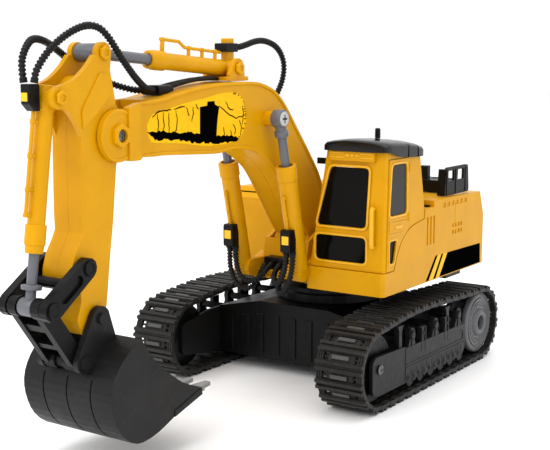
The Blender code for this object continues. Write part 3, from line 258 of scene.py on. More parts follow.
def lofted(sections):
    """A solid through cross-sections that have the same number of points."""
    bm = bmesh.new()
    rings = [[bm.verts.new(point) for point in section] for section in sections]
    bm.faces.new(rings[0])
    bm.faces.new(rings[-1])
    for a, b in zip(rings, rings[1:]):
        for k in range(len(a)):
            j = (k + 1) % len(a)
            bm.faces.new((a[k], a[j], b[j], b[k]))
    bmesh.ops.recalc_face_normals(bm, faces=bm.faces)
    return bm


def prism(outline, axis, low, high):
    """A flat outline pushed along an axis from low to high."""
    return lofted([[place(axis, u, v, w) for u, v in outline] for w in (low, high)])


def box(low, high):
    return prism([(low[0], low[1]), (high[0], low[1]), (high[0], high[1]), (low[0], high[1])],
                 "Z", low[2], high[2])


def turned(profile, start, direction, segments=48):
    """Spins (distance along, radius) pairs about the line from start along direction."""
    turns = [2 * math.pi * k / segments for k in range(segments)]
    bm = lofted([[(radius * math.cos(a), radius * math.sin(a), height) for a in turns]
                 for height, radius in profile])
    turn = Vector((0, 0, 1)).rotation_difference(Vector(direction).normalized()).to_matrix().to_4x4()
    bm.transform(Matrix.Translation(start) @ turn)
    return bm


def rod(start, end, radius, segments=32, edge=0.25):
    """A round bar with softened ends."""
    a, b = Vector(start), Vector(end)
    length = (b - a).length
    edge = min(edge, radius * 0.5, length * 0.4)
    profile = [(0, radius - edge), (edge * 0.3, radius - edge * 0.3), (edge, radius), (length - edge, radius),
               (length - edge * 0.3, radius - edge * 0.3), (length, radius - edge)]
    return turned(profile, a, b - a, segments)


def rod_x(x0, x1, centre, radius, segments=32, edge=0.25):
    return rod((x0, *centre), (x1, *centre), radius, segments, edge)


def arc(centre, radius, start_deg, end_deg, steps):
    span = [math.radians(start_deg + (end_deg - start_deg) * k / steps) for k in range(steps + 1)]
    return [(centre[0] + radius * math.cos(a), centre[1] + radius * math.sin(a)) for a in span]


def rounded(outline, radius, steps=5):
    """The outline with each corner cut back by radius and rounded."""
    out = []
    count = len(outline)
    for i in range(count):
        p = Vector(outline[i])
        before, after = Vector(outline[i - 1]) - p, Vector(outline[(i + 1) % count]) - p
        cut = min(radius, 0.45 * before.length, 0.45 * after.length)
        a, b = p + before.normalized() * cut, p + after.normalized() * cut
        for k in range(steps + 1):
            t = k / steps
            out.append(tuple(a * (1 - t) ** 2 + p * 2 * t * (1 - t) + b * t * t))
    return out


def smooth_through(points, steps=4, closed=False):
    """Points of a smooth curve through the given ones."""
    pts = [Vector(p) for p in points]
    pts = [pts[-1]] + pts + pts[:2] if closed else [2 * pts[0] - pts[1]] + pts + [2 * pts[-1] - pts[-2]]
    out = []
    for i in range(1, len(pts) - 2):
        a, b, c, d = pts[i - 1:i + 3]
        for k in range(steps):
            t = k / steps
            out.append(tuple(0.5 * (2 * b + (c - a) * t + (2 * a - 5 * b + 4 * c - d) * t * t
                                    + (3 * b - a - 3 * c + d) * t ** 3)))
    if not closed:
        out.append(tuple(pts[-2]))
    return out


def offset(loop, by):
    """A closed outline moved sideways; positive moves a clockwise loop outwards."""
    out = []
    for i, point in enumerate(loop):
        before, after = Vector(loop[i - 1]), Vector(loop[(i + 1) % len(loop)])
        run = (after - before).normalized()
        out.append(tuple(Vector(point) + Vector((-run.y, run.x)) * by))
    return out


def mirrored(bm):
    copy = bm.copy()
    bmesh.ops.scale(copy, vec=(-1, 1, 1), verts=copy.verts)
    bmesh.ops.reverse_faces(copy, faces=copy.faces)
    return copy


def both(solids):
    """The solids and their mirror images."""
    return list(solids) + [mirrored(bm) for bm in solids]


def sided(side, solids):
    return list(solids) if side > 0 else [mirrored(bm) for bm in solids]


def tube(route, radius_at, sides=12, step=0.5):
    """A closed tube along a smooth route; radius_at is its radius, or a function of (distance, length)."""
    fine = [Vector(p) for p in smooth_through(route, 24)]
    lengths = [0.0]
    for a, b in zip(fine, fine[1:]):
        lengths.append(lengths[-1] + (b - a).length)
    whole = lengths[-1]
    count = max(2, round(whole / step))
    sections = []
    normal = None
    spot = 0
    for i in range(count + 1):
        s = whole * i / count
        while spot < len(fine) - 2 and lengths[spot + 1] < s:
            spot += 1
        share = (s - lengths[spot]) / max(lengths[spot + 1] - lengths[spot], 1e-9)
        centre = fine[spot].lerp(fine[spot + 1], share)
        run = (fine[min(spot + 2, len(fine) - 1)] - fine[max(spot - 1, 0)]).normalized()
        normal = (run.orthogonal() if normal is None else normal - run * normal.dot(run)).normalized()
        across = run.cross(normal)
        radius = radius_at(s, whole) if callable(radius_at) else radius_at
        turns = [2 * math.pi * k / sides for k in range(sides)]
        sections.append([centre + (normal * math.cos(a) + across * math.sin(a)) * radius for a in turns])
    return lofted(sections)


def loose_object(name, solids):
    """One mesh object holding all the solids, in millimetres."""
    joined = bmesh.new()
    for bm in solids:
        part = bpy.data.meshes.new("part")
        bm.to_mesh(part)
        joined.from_mesh(part)
        bpy.data.meshes.remove(part)
    mesh = bpy.data.meshes.new(name)
    joined.to_mesh(mesh)
    obj = bpy.data.objects.new(name, mesh)
    bpy.context.scene.collection.objects.link(obj)
    return obj


def carved(solids, tools):
    """The union of the solids with the tools cut away, as one solid."""
    objects = [loose_object("carving", [bm]) for bm in (*solids, *tools)]
    first = objects[0]
    for i, tool in enumerate(objects[1:]):
        step = first.modifiers.new("step", "BOOLEAN")
        step.operation = "UNION" if i < len(solids) - 1 else "DIFFERENCE"
        step.object = tool
    shape = bpy.data.meshes.new_from_object(first.evaluated_get(bpy.context.evaluated_depsgraph_get()))
    bm = bmesh.new()
    bm.from_mesh(shape)
    for obj in objects:
        bpy.data.objects.remove(obj, do_unlink=True)
    bmesh.ops.remove_doubles(bm, verts=bm.verts, dist=0.002)
    bmesh.ops.dissolve_degenerate(bm, edges=bm.edges, dist=0.002)
    return bm


def soften(obj, bevel, segments=2, angle=32.0):
    """Rounded edges and even shading."""
    if bevel:
        edge = obj.modifiers.new("edges", "BEVEL")
        edge.width = bevel * MM
        edge.segments = segments
        edge.limit_method = "ANGLE"
        edge.angle_limit = math.radians(angle)
        edge.use_clamp_overlap = True
        even = obj.modifiers.new("shading", "WEIGHTED_NORMAL")
        even.keep_sharp = True



def piece(name, solids, look, body, bevel=0.0, replaces=(), smooth=40.0, segments=2):
    """A finished piece of the model that rides on a body."""
    obj = loose_object(name, solids)
    obj.data.transform(Matrix.Scale(MM, 4) @ Matrix.Translation((0, SLEW_Y, 0)))
    obj.data.shade_smooth()
    obj.data.set_sharp_from_angle(angle=math.radians(smooth if not bevel else 75.0))
    obj.data.materials.append(look)
    soften(obj, bevel, segments)
    if body:
        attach(obj, body)
    if replaces:
        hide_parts(*([replaces] if isinstance(replaces, str) else replaces))
    return obj


def both_sides(make):
    make(1, "left")
    make(-1, "right")


def along(start, end, distance):
    a, b = Vector(start), Vector(end)
    return tuple(a + (b - a).normalized() * distance)


def at_x(x, yz):
    return (x, yz[0], yz[1])


def cross_screw(centre, axis_x, radius, depth=0.7, look=STEEL):
    """A domed screw head with a cross recess, facing along +X or -X."""
    x, y, z = centre
    head = turned([(-depth, radius), (0, radius), (depth * 0.5, radius * 0.86), (depth * 0.8, radius * 0.5),
                   (depth * 0.9, radius * 0.1)], centre, (axis_x, 0, 0), 24)
    slots = [box((min(x, x + axis_x * 2), y - a, z - b), (max(x, x + axis_x * 2), y + a, z + b))
             for a, b in ((radius * 0.6, radius * 0.12), (radius * 0.12, radius * 0.6))]
    return carved([head], slots)


# ---- carried-over pieces

EDGES = {"house_shell": 0.9, "cab_shell": 0.5, "cab_door": 0.25, "engine_cover": 0.5, "circuit_board": 0.0,
         "windscreen": 0.2, "lower_windscreen": 0.2, "door_window": 0.2}


def dress_cad():
    """Rounded edges and materials on the nodes that no piece replaces."""
    looks = {
        YELLOW: ("house_shell", "cab_shell", "cab_door", "boom_bracket", "stick_cylinder_bracket"),
        BLACK: ("chassis_center", "battery_cover", "battery_pack", "power_switch", "slew_ring", "house_floor",
                "engine_cover", "handrail", "mirror", "hose_manifold", "hose_clamp", "link_arms",
                "bucket_link", "antenna"),
        CHARCOAL: ("bucket_shell",),
        FRAME_GREY: ("track_frame_left", "track_frame_right"),
        WINDOW: ("windscreen", "lower_windscreen"),
        SIDE_WINDOW: ("door_window",),
        TOOTH: ("bucket_teeth",),
        STEEL: ("drive_motor_left", "drive_motor_right", "slew_motor"),
        BOARD: ("circuit_board",),
    }
    for look, names in looks.items():
        for name in names:
            obj = frame["nodes"][name]
            obj.data.materials.clear()
            obj.data.materials.append(look)
            weld = obj.modifiers.new("weld", "WELD")
            weld.merge_threshold = 0.00001
            flat = obj.modifiers.new("flat", "DECIMATE")
            flat.decimate_type = "DISSOLVE"
            flat.angle_limit = math.radians(0.5)
            soften(obj, EDGES.get(name, 0.35))


# ---- tracks

REAR_AXLE = axis_of("left_sprocket_spin")
FRONT_AXLE = axis_of("left_idler_spin")
SHOES = 40
HINGE_R = 22.3
SHOE_HALF = 15.75
RIDGE_HEIGHT = 3.3
TOP_RISE = 3.6
FRAME_FACE_X = 82.8
WHEEL_X = 62.3


def belt_point(s, height=0.0):
    """The (Y, Z) at height outside the belt's hinge line, s along it from below the front axle."""
    straight = REAR_AXLE[0] - FRONT_AXLE[0]
    bend = math.pi * HINGE_R
    s %= 2 * (straight + bend)
    radius = HINGE_R + height
    if s < straight:
        return (FRONT_AXLE[0] + s, REAR_AXLE[1] - radius)
    if s < straight + bend:
        angle = (s - straight) / HINGE_R - math.pi / 2
        return (REAR_AXLE[0] + radius * math.cos(angle), REAR_AXLE[1] + radius * math.sin(angle))
    if s < 2 * straight + bend:
        share = (s - straight - bend) / straight
        rise = TOP_RISE * math.sin(math.pi * share ** 1.5)
        return (REAR_AXLE[0] - share * straight, REAR_AXLE[1] + radius + rise)
    angle = (s - 2 * straight - bend) / HINGE_R + math.pi / 2
    return (FRONT_AXLE[0] + radius * math.cos(angle), REAR_AXLE[1] + radius * math.sin(angle))


def on_belt(s, solids):
    """Places solids drawn with Y along the belt and Z out of it at the distance s."""
    before, after = Vector(belt_point(s - 0.5)), Vector(belt_point(s + 0.5))
    run = (after - before).normalized()
    y, z = (before + after) / 2
    turn = Matrix(((1, 0, 0, 0), (0, run.x, run.y, y), (0, run.y, -run.x, z), (0, 0, 0, 1)))
    for bm in solids:
        bm.transform(turn)
        bmesh.ops.recalc_face_normals(bm, faces=bm.faces)
    return solids


def ridge(low, high, base, top, half):
    """A cross bar with sloping flanks and a flat top."""
    lean = 0.45
    return prism([(low, base), (high, base), (high - lean * 0.4, top - 0.5), (high - lean, top),
                  (low + lean, top), (low + lean * 0.4, top - 0.5)], "X", -half, half)


def belt_shoe():
    """One shoe: a plate with two cross ridges and a groove between them."""
    return [box((-SHOE_HALF, -3.35, -0.6), (SHOE_HALF, 3.35, 1.9)),
            ridge(-3.3, -0.6, 1.0, RIDGE_HEIGHT, SHOE_HALF - 0.1),
            ridge(0.6, 3.3, 1.0, RIDGE_HEIGHT, SHOE_HALF - 0.1)]


def belt_link():
    """What joins two shoes: a middle block, the pin lugs at both edges, and holes between them."""
    solids = [box((-8.6, -2.4, -0.9), (8.6, 2.4, 0.9)),
              rod_x(-SHOE_HALF + 0.6, SHOE_HALF - 0.6, (0, 0), 0.75, 10)]
    for x in (12.0, 13.5, 15.0):
        solids += both([box((x - 0.55, -2.6, -0.9), (x + 0.55, 2.6, 1.5))])
    return solids


def make_belt(side, word):
    pitch = 2 * (REAR_AXLE[0] - FRONT_AXLE[0] + math.pi * HINGE_R) / SHOES
    solids, studs = [], []
    for k in range(SHOES):
        solids += on_belt((k + 0.31) * pitch, belt_shoe())
        solids += on_belt((k + 0.81) * pitch, belt_link())
        # The studs take the painted-highlight grey.
        studs += on_belt((k + 0.81) * pitch, [box((-5.6, -1.25, 0.4), (5.6, 1.25, 2.5))])
    for bm in solids + studs:
        bm.transform(Matrix.Translation((TRACK_X, 0, 0)))
    piece("belt_" + word, sided(side, solids), TRACK, "undercarriage", 0.28, "track_belt_" + word)
    piece("belt_studs_" + word, sided(side, studs), STUD_PAINTED_HIGHLIGHT, "undercarriage", 0.3, "track_belt_" + word)


def make_sprocket(side, word):
    y, z = REAR_AXLE
    profile = [(0, 16.5), (4, 16.5), (4.4, 18.8), (6, 18.8), (6.4, 15.0), (15.0, 15.0), (15.4, 20.2),
               (16.0, 20.8), (18.2, 20.8), (18.9, 20.3), (19.3, 19.4), (19.4, 18.4), (18.7, 18.0),
               (18.7, 16.9), (19.5, 16.6), (19.6, 16.2), (19.5, 15.8), (18.9, 15.5), (18.9, 14.4),
               (19.5, 14.0),
               (19.5, 13.5), (18.9, 13.2), (18.9, 9.6), (19.6, 9.3), (20.6, 8.6), (21.2, 7.6), (21.5, 6.8),
               (21.2, 5.8), (20.7, 5.0), (17.5, 4.5)]
    wheel = turned(profile, (WHEEL_X, y, z), (1, 0, 0), 72)
    drive = rod_x(WHEEL_X - 2.0, WHEEL_X + 1, (y, z), 3.0)
    marks = []
    for k in range(24):
        mark = box((WHEEL_X + 18.4, -0.7, 10.6 if k % 2 else 11.4), (WHEEL_X + 19.3, 0.7, 12.6))
        mark.transform(Matrix.Translation((0, y, z)) @ Matrix.Rotation(math.tau * k / 24, 4, "X"))
        marks.append(mark)
    body = word + "_sprocket"
    piece("sprocket_wheel_" + word, sided(side, [wheel, drive]), SPROCKET_GREY, body, 0.0, "sprocket_" + word)
    piece("sprocket_marks_" + word, sided(side, marks), SPROCKET_GREY, body, 0.15)
    # Painted shade: a thin black disc at the bottom of the hub well stands in for the shade in the hub hole.
    socket = turned([(0, 4.35), (0.6, 4.3)], (WHEEL_X + 17.4, y, z), (1, 0, 0), 32)
    piece("sprocket_hub_painted_shade_" + word, sided(side, [socket]), ROOF, body, 0.1)


def make_idler(side, word):
    y, z = FRONT_AXLE
    profile = [(0, 19.2), (0.8, 20.4), (5.0, 20.4), (5.4, 16.5), (11.4, 16.5), (11.8, 20.4), (16.0, 20.4),
               (16.6, 20.0), (16.8, 19.3), (16.5, 18.6), (16.3, 17.6), (16.1, 12.0), (16.0, 5.0)]
    wheel = turned(profile, (WHEEL_X, y, z), (1, 0, 0), 64)
    stub = rod_x(WHEEL_X + 5, FRAME_FACE_X + 0.5, (y, z), 1.7)
    piece("idler_wheel_" + word, sided(side, [wheel, stub]), BLACK, word + "_idler", 0.0, "idler_" + word)
    piece("idler_screw_" + word, sided(side, [cross_screw((FRAME_FACE_X + GAP + 0.75, y, z), 1, 2.9)]),
          DARK_STEEL, word + "_idler", 0.1, "idler_" + word)


def make_frame_details(side, word):
    """Lines, rings, slots and small rollers on the outside of the track frame."""
    x = FRAME_FACE_X
    solids = []
    for y in (-38.5, -6.4, 27.4):
        for radius, depth in ((3.5, 0.55), (2.5, 0.9)):
            ring = turned([(0, radius), (depth, radius), (depth + 0.15, radius - 0.3), (depth, radius - 0.6),
                           (0, radius - 0.65)], (x - 0.5, y, 37.6), (1, 0, 0), 28)
            solids.append(ring)
        wedge = [(y - 0.9, 29.0), (y + 0.9, 29.0), (y + 0.7, 34.5), (y - 0.7, 34.5)]
        solids.append(prism(rounded(wedge, 0.5, 3), "X", x - 0.5, x + 0.1))
    for y in (-23.2, 9.3):
        solids += [box((x - 0.6, at, 24.5), (x + 0.15, at + 1.0, 39.4)) for at in (y - 2.9, y + 1.9)]
        solids.append(rod_x(x - 0.6, x + 0.2, (y, 35.8), 1.1, 16))
    belt_line = arc((31.0, 22.3), 3.4, 100, -90, 9)
    line = [(-46.5, 20.9), (24.0, 20.2)] + [(p[0], p[1] + 1.2) for p in reversed(belt_line)]
    solids.append(tube([(x + 0.02, p[0], p[1]) for p in line], 0.32, 8, 1.5))
    low_line = [(x + 0.02, -46.5, 18.9), (x + 0.02, -10.0, 18.6), (x + 0.02, 36.0, 17.9)]
    solids.append(tube(low_line, 0.28, 8, 2.0))
    solids.append(tube([(x, -47.2, 31.4), (x, -47.4, 20.0), (x, -47.4, 10.0)], 0.3, 8, 2.0))
    for k in range(11):
        y = -43.0 + 7.1 * k
        reach = 3.1 if k % 2 else 2.4
        middle = (y, 12.0 - (k % 2) * 0.6)
        solids.append(rod_x(x - 2.0, x + 0.25, middle, reach, 20))
        solids.append(rod_x(x - 1.0, x + 0.6, middle, 1.1, 14))
        solids.append(box((x - 1.2, y + 3.0, 9.6), (x + 0.15, y + 4.1, 16.6)))
    piece("frame_details_" + word, sided(side, solids), FRAME_GREY, "undercarriage", 0.0)


# ---- boom

BOOM_TOP = [
    (-197.0, 184.6), (-188.0, 185.4), (-163.6, 189.6), (-140.0, 192.0), (-109.0, 192.4), (-94.3, 190.2),
    (-82.6, 185.3), (-72.3, 176.6), (-61.7, 164.6), (-46.9, 147.7), (-33.6, 130.5), (-28.0, 112.0),
    (-28.6, 94.0),
]
BOOM_BOTTOM = [
    (-47.4, 94.2), (-52.4, 99.8), (-58.2, 107.0), (-66.0, 117.5), (-77.6, 132.2), (-86.0, 140.6),
    (-99.4, 148.6), (-110.7, 152.8), (-127.0, 154.2), (-141.0, 153.0), (-164.2, 154.0), (-186.4, 155.2),
    (-197.0, 155.2),
]
BOOM_HALF = 12.5
PANEL_X = 11.9
NOSE_HALF = 14.2
NOSE_R = 13.3
FORK_INNER = 10.4
NOSE_REACH = 12.0


def boom_outline(inset=0.0, reach=0.0):
    """The boom's side view, drawn in by inset; reach lengthens its front end towards the nose."""
    loop = smooth_through(BOOM_TOP, 5) + arc(BOOM_FOOT, 11.0, 20, -205, 24) + smooth_through(BOOM_BOTTOM, 5)
    if reach:
        loop = [(BOOM_TOP[0][0] - reach, BOOM_TOP[0][1] - 1.0)] + loop
        loop.append((BOOM_BOTTOM[-1][0] - reach, BOOM_BOTTOM[-1][1] + 0.6))
    return offset(loop, -inset) if inset else loop


def hex_boss(x, spot, reach, height, well, depth):
    """A six-sided boss with a round well in it, facing +X."""
    profile = [(0, reach), (height - 0.5, reach), (height, reach - 0.5)]
    return carved([turned(profile, at_x(x, spot), (1, 0, 0), 6)],
                  [rod_x(x + height - depth, x + height + 2, spot, well, 24, 0.05)])


def make_boom(side, word):
    rim = carved([prism(boom_outline(0.15, NOSE_REACH), "X", PANEL_X - 0.6, BOOM_HALF + 0.2)],
                 [prism(boom_outline(2.1, NOSE_REACH + 4), "X", PANEL_X - 2, BOOM_HALF + 2)])
    core = prism(boom_outline(0.25), "X", 0.02, FORK_INNER)
    panel = prism(boom_outline(0.25, NOSE_REACH), "X", FORK_INNER - 0.05, PANEL_X)
    piece("boom_core_" + word, sided(side, [core, panel]), YELLOW, "boom", 0.3, "boom_" + word)
    piece("boom_rim_" + word, sided(side, [rim]), YELLOW, "boom", 0.5, "boom_" + word, segments=3)
    cheek = prism([(-208.5, 181.6), (-206, 183.0), (-206, 155.4), (-208.5, 155.0)]
                  + arc(STICK_PIVOT, NOSE_R, -60, -300, 36), "X", FORK_INNER, NOSE_HALF - 1.3)
    rim_ring = carved([rod_x(NOSE_HALF - 1.6, NOSE_HALF - 0.5, STICK_PIVOT, NOSE_R - 0.1, 56, 0.4)],
                      [rod_x(NOSE_HALF - 0.9, NOSE_HALF + 1, STICK_PIVOT, NOSE_R - 1.8, 56, 0.05)])
    band = prism(rounded([(-217.5, 181.4), (-208.6, 183.8), (-208.6, 154.6), (-217.5, 154.6)], 1.2, 4), "X",
                 FORK_INNER, NOSE_HALF + 0.4)
    floor = box((0.2, -196.0, 156.2), (12, -193.6, 184.0))
    pieces = [cheek, rim_ring, band, floor, hex_boss(NOSE_HALF - 1, STICK_PIVOT, 6.2, 2.6, 3.4, 1.8),
              rod_x(BOOM_HALF - 2, 17.8, BOOM_CYL_EYE, 4.4, 36),
              rod_x(BOOM_HALF - 1, 13.6, BOOM_FOOT, 5.0, 32)]
    piece("boom_nose_" + word, sided(side, pieces), YELLOW, "boom", 0.4, "boom_" + word)
    pin = cross_screw((NOSE_HALF + 0.2, *STICK_PIVOT), 1, 3.0)
    piece("nose_screw_" + word, sided(side, [pin]), DARK_STEEL, "boom", 0.08)


# ---- stickers

STICKER_OUTLINE = [
    (-201.0, 169.5), (-200.4, 173.1), (-197.1, 176.9), (-192.5, 178.4), (-184.4, 179.4), (-168.9, 182.2),
    (-154.0, 184.0), (-139.7, 186.1), (-129.1, 186.6), (-122.2, 185.8), (-117.4, 182.4), (-114.7, 177.0),
    (-114.0, 171.3), (-116.1, 165.7), (-120.4, 161.0), (-129.3, 158.3), (-150.5, 157.9), (-172.9, 160.7),
    (-195.2, 162.5), (-199.1, 164.6),
]
TORN_BAND = [
    (-201.0, 168.6), (-199.1, 168.8), (-195.0, 168.2), (-191.7, 168.4), (-180.0, 167.2), (-172.0, 166.4),
    (-168.0, 166.6), (-155.6, 164.6), (-142.7, 163.1), (-136.0, 162.9), (-129.3, 162.0), (-121.1, 160.9),
    (-122.5, 159.1), (-129.3, 158.7), (-140.1, 158.8), (-154.3, 159.9), (-161.9, 160.4), (-169.3, 161.6),
    (-180.1, 163.0), (-184.8, 163.7), (-195.2, 163.6), (-196.8, 165.2), (-199.6, 166.8),
]
STICKER_BLOCK = [
    (-157.2, 179.5), (-150.8, 180.0), (-150.4, 182.2), (-144.0, 182.3), (-143.7, 180.4), (-139.8, 178.8),
    (-141.2, 173.3), (-141.9, 168.6), (-142.7, 161.1), (-155.6, 162.2), (-157.4, 164.0),
]
CRACKS = [
    [(-193.1, 177.1), (-192.1, 172.7), (-192.8, 167.9)], [(-188.5, 178.0), (-187.5, 172.4), (-188.4, 167.3)],
    [(-183.9, 177.5), (-183.4, 172.2), (-183.8, 167.4)],
    [(-178.0, 178.4), (-176.6, 172.7), (-177.4, 168.2), (-180.0, 166.2)],
    [(-140.5, 179.6), (-137.2, 177.9), (-131.9, 174.9), (-123.7, 172.1), (-114.7, 173.4)],
    [(-136.0, 167.5), (-134.7, 161.9)], [(-129.3, 165.6), (-127.9, 161.5)],
    [(-121.0, 170.8), (-118.9, 166.6), (-119.9, 161.8)],
]
SPECKS = [
    [(-197.0, 175.6), (-193.0, 177.8), (-188.0, 178.9)], [(-163.5, 179.8), (-162.6, 176.4), (-164.4, 172.0)],
    [(-161.0, 181.2), (-158.4, 178.0)], [(-133.8, 181.6), (-131.0, 177.6), (-126.6, 176.4)],
    [(-127.0, 168.9), (-124.4, 165.8), (-125.4, 162.6)], [(-117.6, 178.8), (-116.8, 174.0), (-118.2, 168.4)],
    [(-188.5, 178.8), (-181.5, 179.0)], [(-179.2, 179.2), (-170.1, 180.3)],
    [(-168.9, 179.9), (-167.2, 176.0), (-166.3, 175.2)],
]
STICKER_X = 12.05


def dense(outline, step):
    """The closed outline with points added so that none are further apart than about a step."""
    out = []
    for i, point in enumerate(outline):
        after = Vector(outline[(i + 1) % len(outline)])
        count = max(1, round((after - Vector(point)).length / step))
        out += [tuple(Vector(point).lerp(after, k / count)) for k in range(count)]
    return out


def ribbon(line, width, low, high, jag=0.0, rng=None):
    """A thin flat strip along an open line, tapering to its ends; jag makes its edges ragged."""
    fine = []
    for a, b in zip(line, line[1:]):
        for k in range(4):
            fine.append(Vector(a).lerp(Vector(b), k / 4))
    fine.append(Vector(line[-1]))
    left, right = [], []
    for i, point in enumerate(fine):
        before, after = fine[max(i - 1, 0)], fine[min(i + 1, len(fine) - 1)]
        run = (after - before).normalized()
        across = Vector((-run.y, run.x))
        share = i / (len(fine) - 1)
        reach = width / 2 * (0.35 + 0.65 * math.sin(math.pi * (0.1 + 0.8 * share)))
        drift = across * (rng.uniform(-jag, jag) if rng else 0.0)
        left.append(tuple(point + drift + across * reach))
        right.append(tuple(point + drift - across * reach))
    return prism(left + right[::-1], "X", low, high)


def make_boom_sticker(side, word):
    """A worn yellow sticker: pale ground, cracks, a torn black band and a black patch; no lettering."""
    rng = random.Random(7)
    ground = prism(smooth_through(STICKER_OUTLINE, 4, closed=True), "X", PANEL_X - 0.1, STICKER_X)
    piece("sticker_ground_" + word, sided(side, [ground]), STICKER, "boom", 0.0)
    torn = [(y + rng.uniform(-0.3, 0.3), z + rng.uniform(-0.7, 0.7)) for y, z in dense(TORN_BAND, 1.6)]
    dark = [prism(torn, "X", STICKER_X - 0.1, STICKER_X + 0.05),
            prism(STICKER_BLOCK, "X", STICKER_X - 0.1, STICKER_X + 0.06)]
    for marks, width, jag in ((CRACKS, 0.75, 0.35), (SPECKS, 0.8, 0.3)):
        dark += [ribbon(mark, width, STICKER_X - 0.1, STICKER_X + 0.05, jag, rng) for mark in marks]
    edge = smooth_through(STICKER_OUTLINE, 4, closed=True)
    for k in range(len(edge)):
        if 30 < k < 64 and rng.random() < 0.4:
            tip = Vector(edge[k]).lerp(Vector((-150, 171)), rng.uniform(0.02, 0.07))
            dark.append(ribbon([edge[k], tuple(tip)], 0.7, STICKER_X - 0.1, STICKER_X + 0.05))
    piece("sticker_marks_" + word, sided(side, dark), STICKER_BLACK, "boom", 0.0)


HOUSE_FACE = 76.4


def make_house_sticker(side, word):
    """The dark label at the rear of the house and the slanted stripes in front of it."""
    low, high = HOUSE_FACE - 0.3, HOUSE_FACE + 0.12
    label = prism([(21.0, 79.9), (72.4, 79.0), (73.3, 65.5), (9.5, 65.5)], "X", low, high)
    slants = [((3.9, 80.2), (-9.6, 65.5)), ((6.9, 80.2), (-5.7, 65.5)), ((12.1, 80.1), (0.7, 65.5)),
              ((14.9, 80.0), (4.2, 65.5)), ((21.0, 79.9), (9.5, 65.5))]
    bands = [prism([a[0], b[0], b[1], a[1]], "X", low, high) for a, b in zip(slants, slants[1:])]
    piece("house_label_" + word, sided(side, [label, *bands[0::2]]), STICKER_BLACK, "house", 0.0)
    piece("house_stripes_" + word, sided(side, bands[1::2]), STICKER, "house", 0.0)


# ---- stick

STICK_HALF = 9.9
EAR_INNER = 7.0


def make_stick(side, word):
    lower_front = smooth_through([(-246.9, 122.0), (-249.6, 117.0), (-253.4, 111.0), (-255.9, 103.8)], 4)
    body = prism([(-249.6, 92.4), (-254.6, 95.0), (-256.2, 99.0)] + lower_front[::-1]
                 + [(-247.2, 132.2), (-246.8, 160.0), (-246.4, 178.0)]
                 + arc((-236.2, 188.0), 9.6, 180, 60, 16) + arc(STICK_PIVOT, 12.4, 70, -8, 16)
                 + [(-220.0, 159.0), (-222.3, 153.0), (-223.6, 142.0), (-225.4, 125.6), (-228.0, 109.2),
                    (-231.4, 84.0)]
                 + arc(BUCKET_PIVOT, 8.2, 20, -110, 16) + [(-249.5, 71.5), (-252.6, 79.0), (-249.6, 88.0)],
                 "X", 0.02, STICK_HALF - 0.15)
    ear = prism(smooth_through([(-246.4, 168.0), (-249.6, 174.2), (-254.9, 180.6), (-260.0, 182.6)], 6)
                + arc(BUCKET_CYL_BASE, 5.6, -100, -280, 18)
                + smooth_through([(-262.5, 192.6), (-251.3, 195.6), (-242.5, 201.4), (-236.6, 207.5)], 6)
                + arc(STICK_CYL_EYE, 5.2, 190, -10, 20)
                + [(-225.6, 200.0), (-223.6, 191.0), (-222.0, 184.0), (-236.0, 170.0)],
                "X", EAR_INNER, STICK_HALF)
    pad = prism(rounded([(-233.4, 199.0), (-228.2, 198.0), (-226.4, 188.0), (-236.8, 178.8), (-246.0, 172.0),
                         (-246.6, 181.0)], 1.5, 5), "X", STICK_HALF - 1, STICK_HALF + 0.8)
    boss = rod_x(STICK_HALF - 1, STICK_HALF + 0.2, STICK_PIVOT, 11, 48)
    piece("stick_half_" + word, sided(side, [body, ear, pad, boss]), YELLOW, "stick", 0.45, "stick_" + word,
          segments=3)


# ---- cylinders

def beside(base, toward, distance, step, share, x):
    point = Vector(along(base, toward, distance)) + Vector(step) * share
    return (x, point.x, point.y)


def gauge_rail(base, toward, step, start, stop, posts, x):
    """The thin pipe beside a cylinder, with its posts; step is the (Y, Z) offset from the cylinder's axis."""
    out = [rod(beside(base, toward, start, step, 1.0, x), beside(base, toward, stop, step, 1.0, x), 0.9, 16)]
    for distance in posts:
        out.append(rod(beside(base, toward, distance, step, 0.35, x),
                       beside(base, toward, distance, step, 1.08, x), 1.05, 16))
        out.append(rod(beside(base, toward, distance - 1.1, step, 1.0, x),
                       beside(base, toward, distance + 1.1, step, 1.0, x), 1.3, 16))
    return out


def sleeve(base, toward, x, profile):
    line = (0, toward[0] - base[0], toward[1] - base[1])
    return turned(profile, at_x(x, base), line, 48)


def apart(a, b):
    return (Vector(b) - Vector(a)).length


def aside(base, toward, reach):
    """The (Y, Z) step at right angles to the line; its sign picks the side."""
    return tuple(Vector((base[1] - toward[1], toward[0] - base[0])).normalized() * reach)


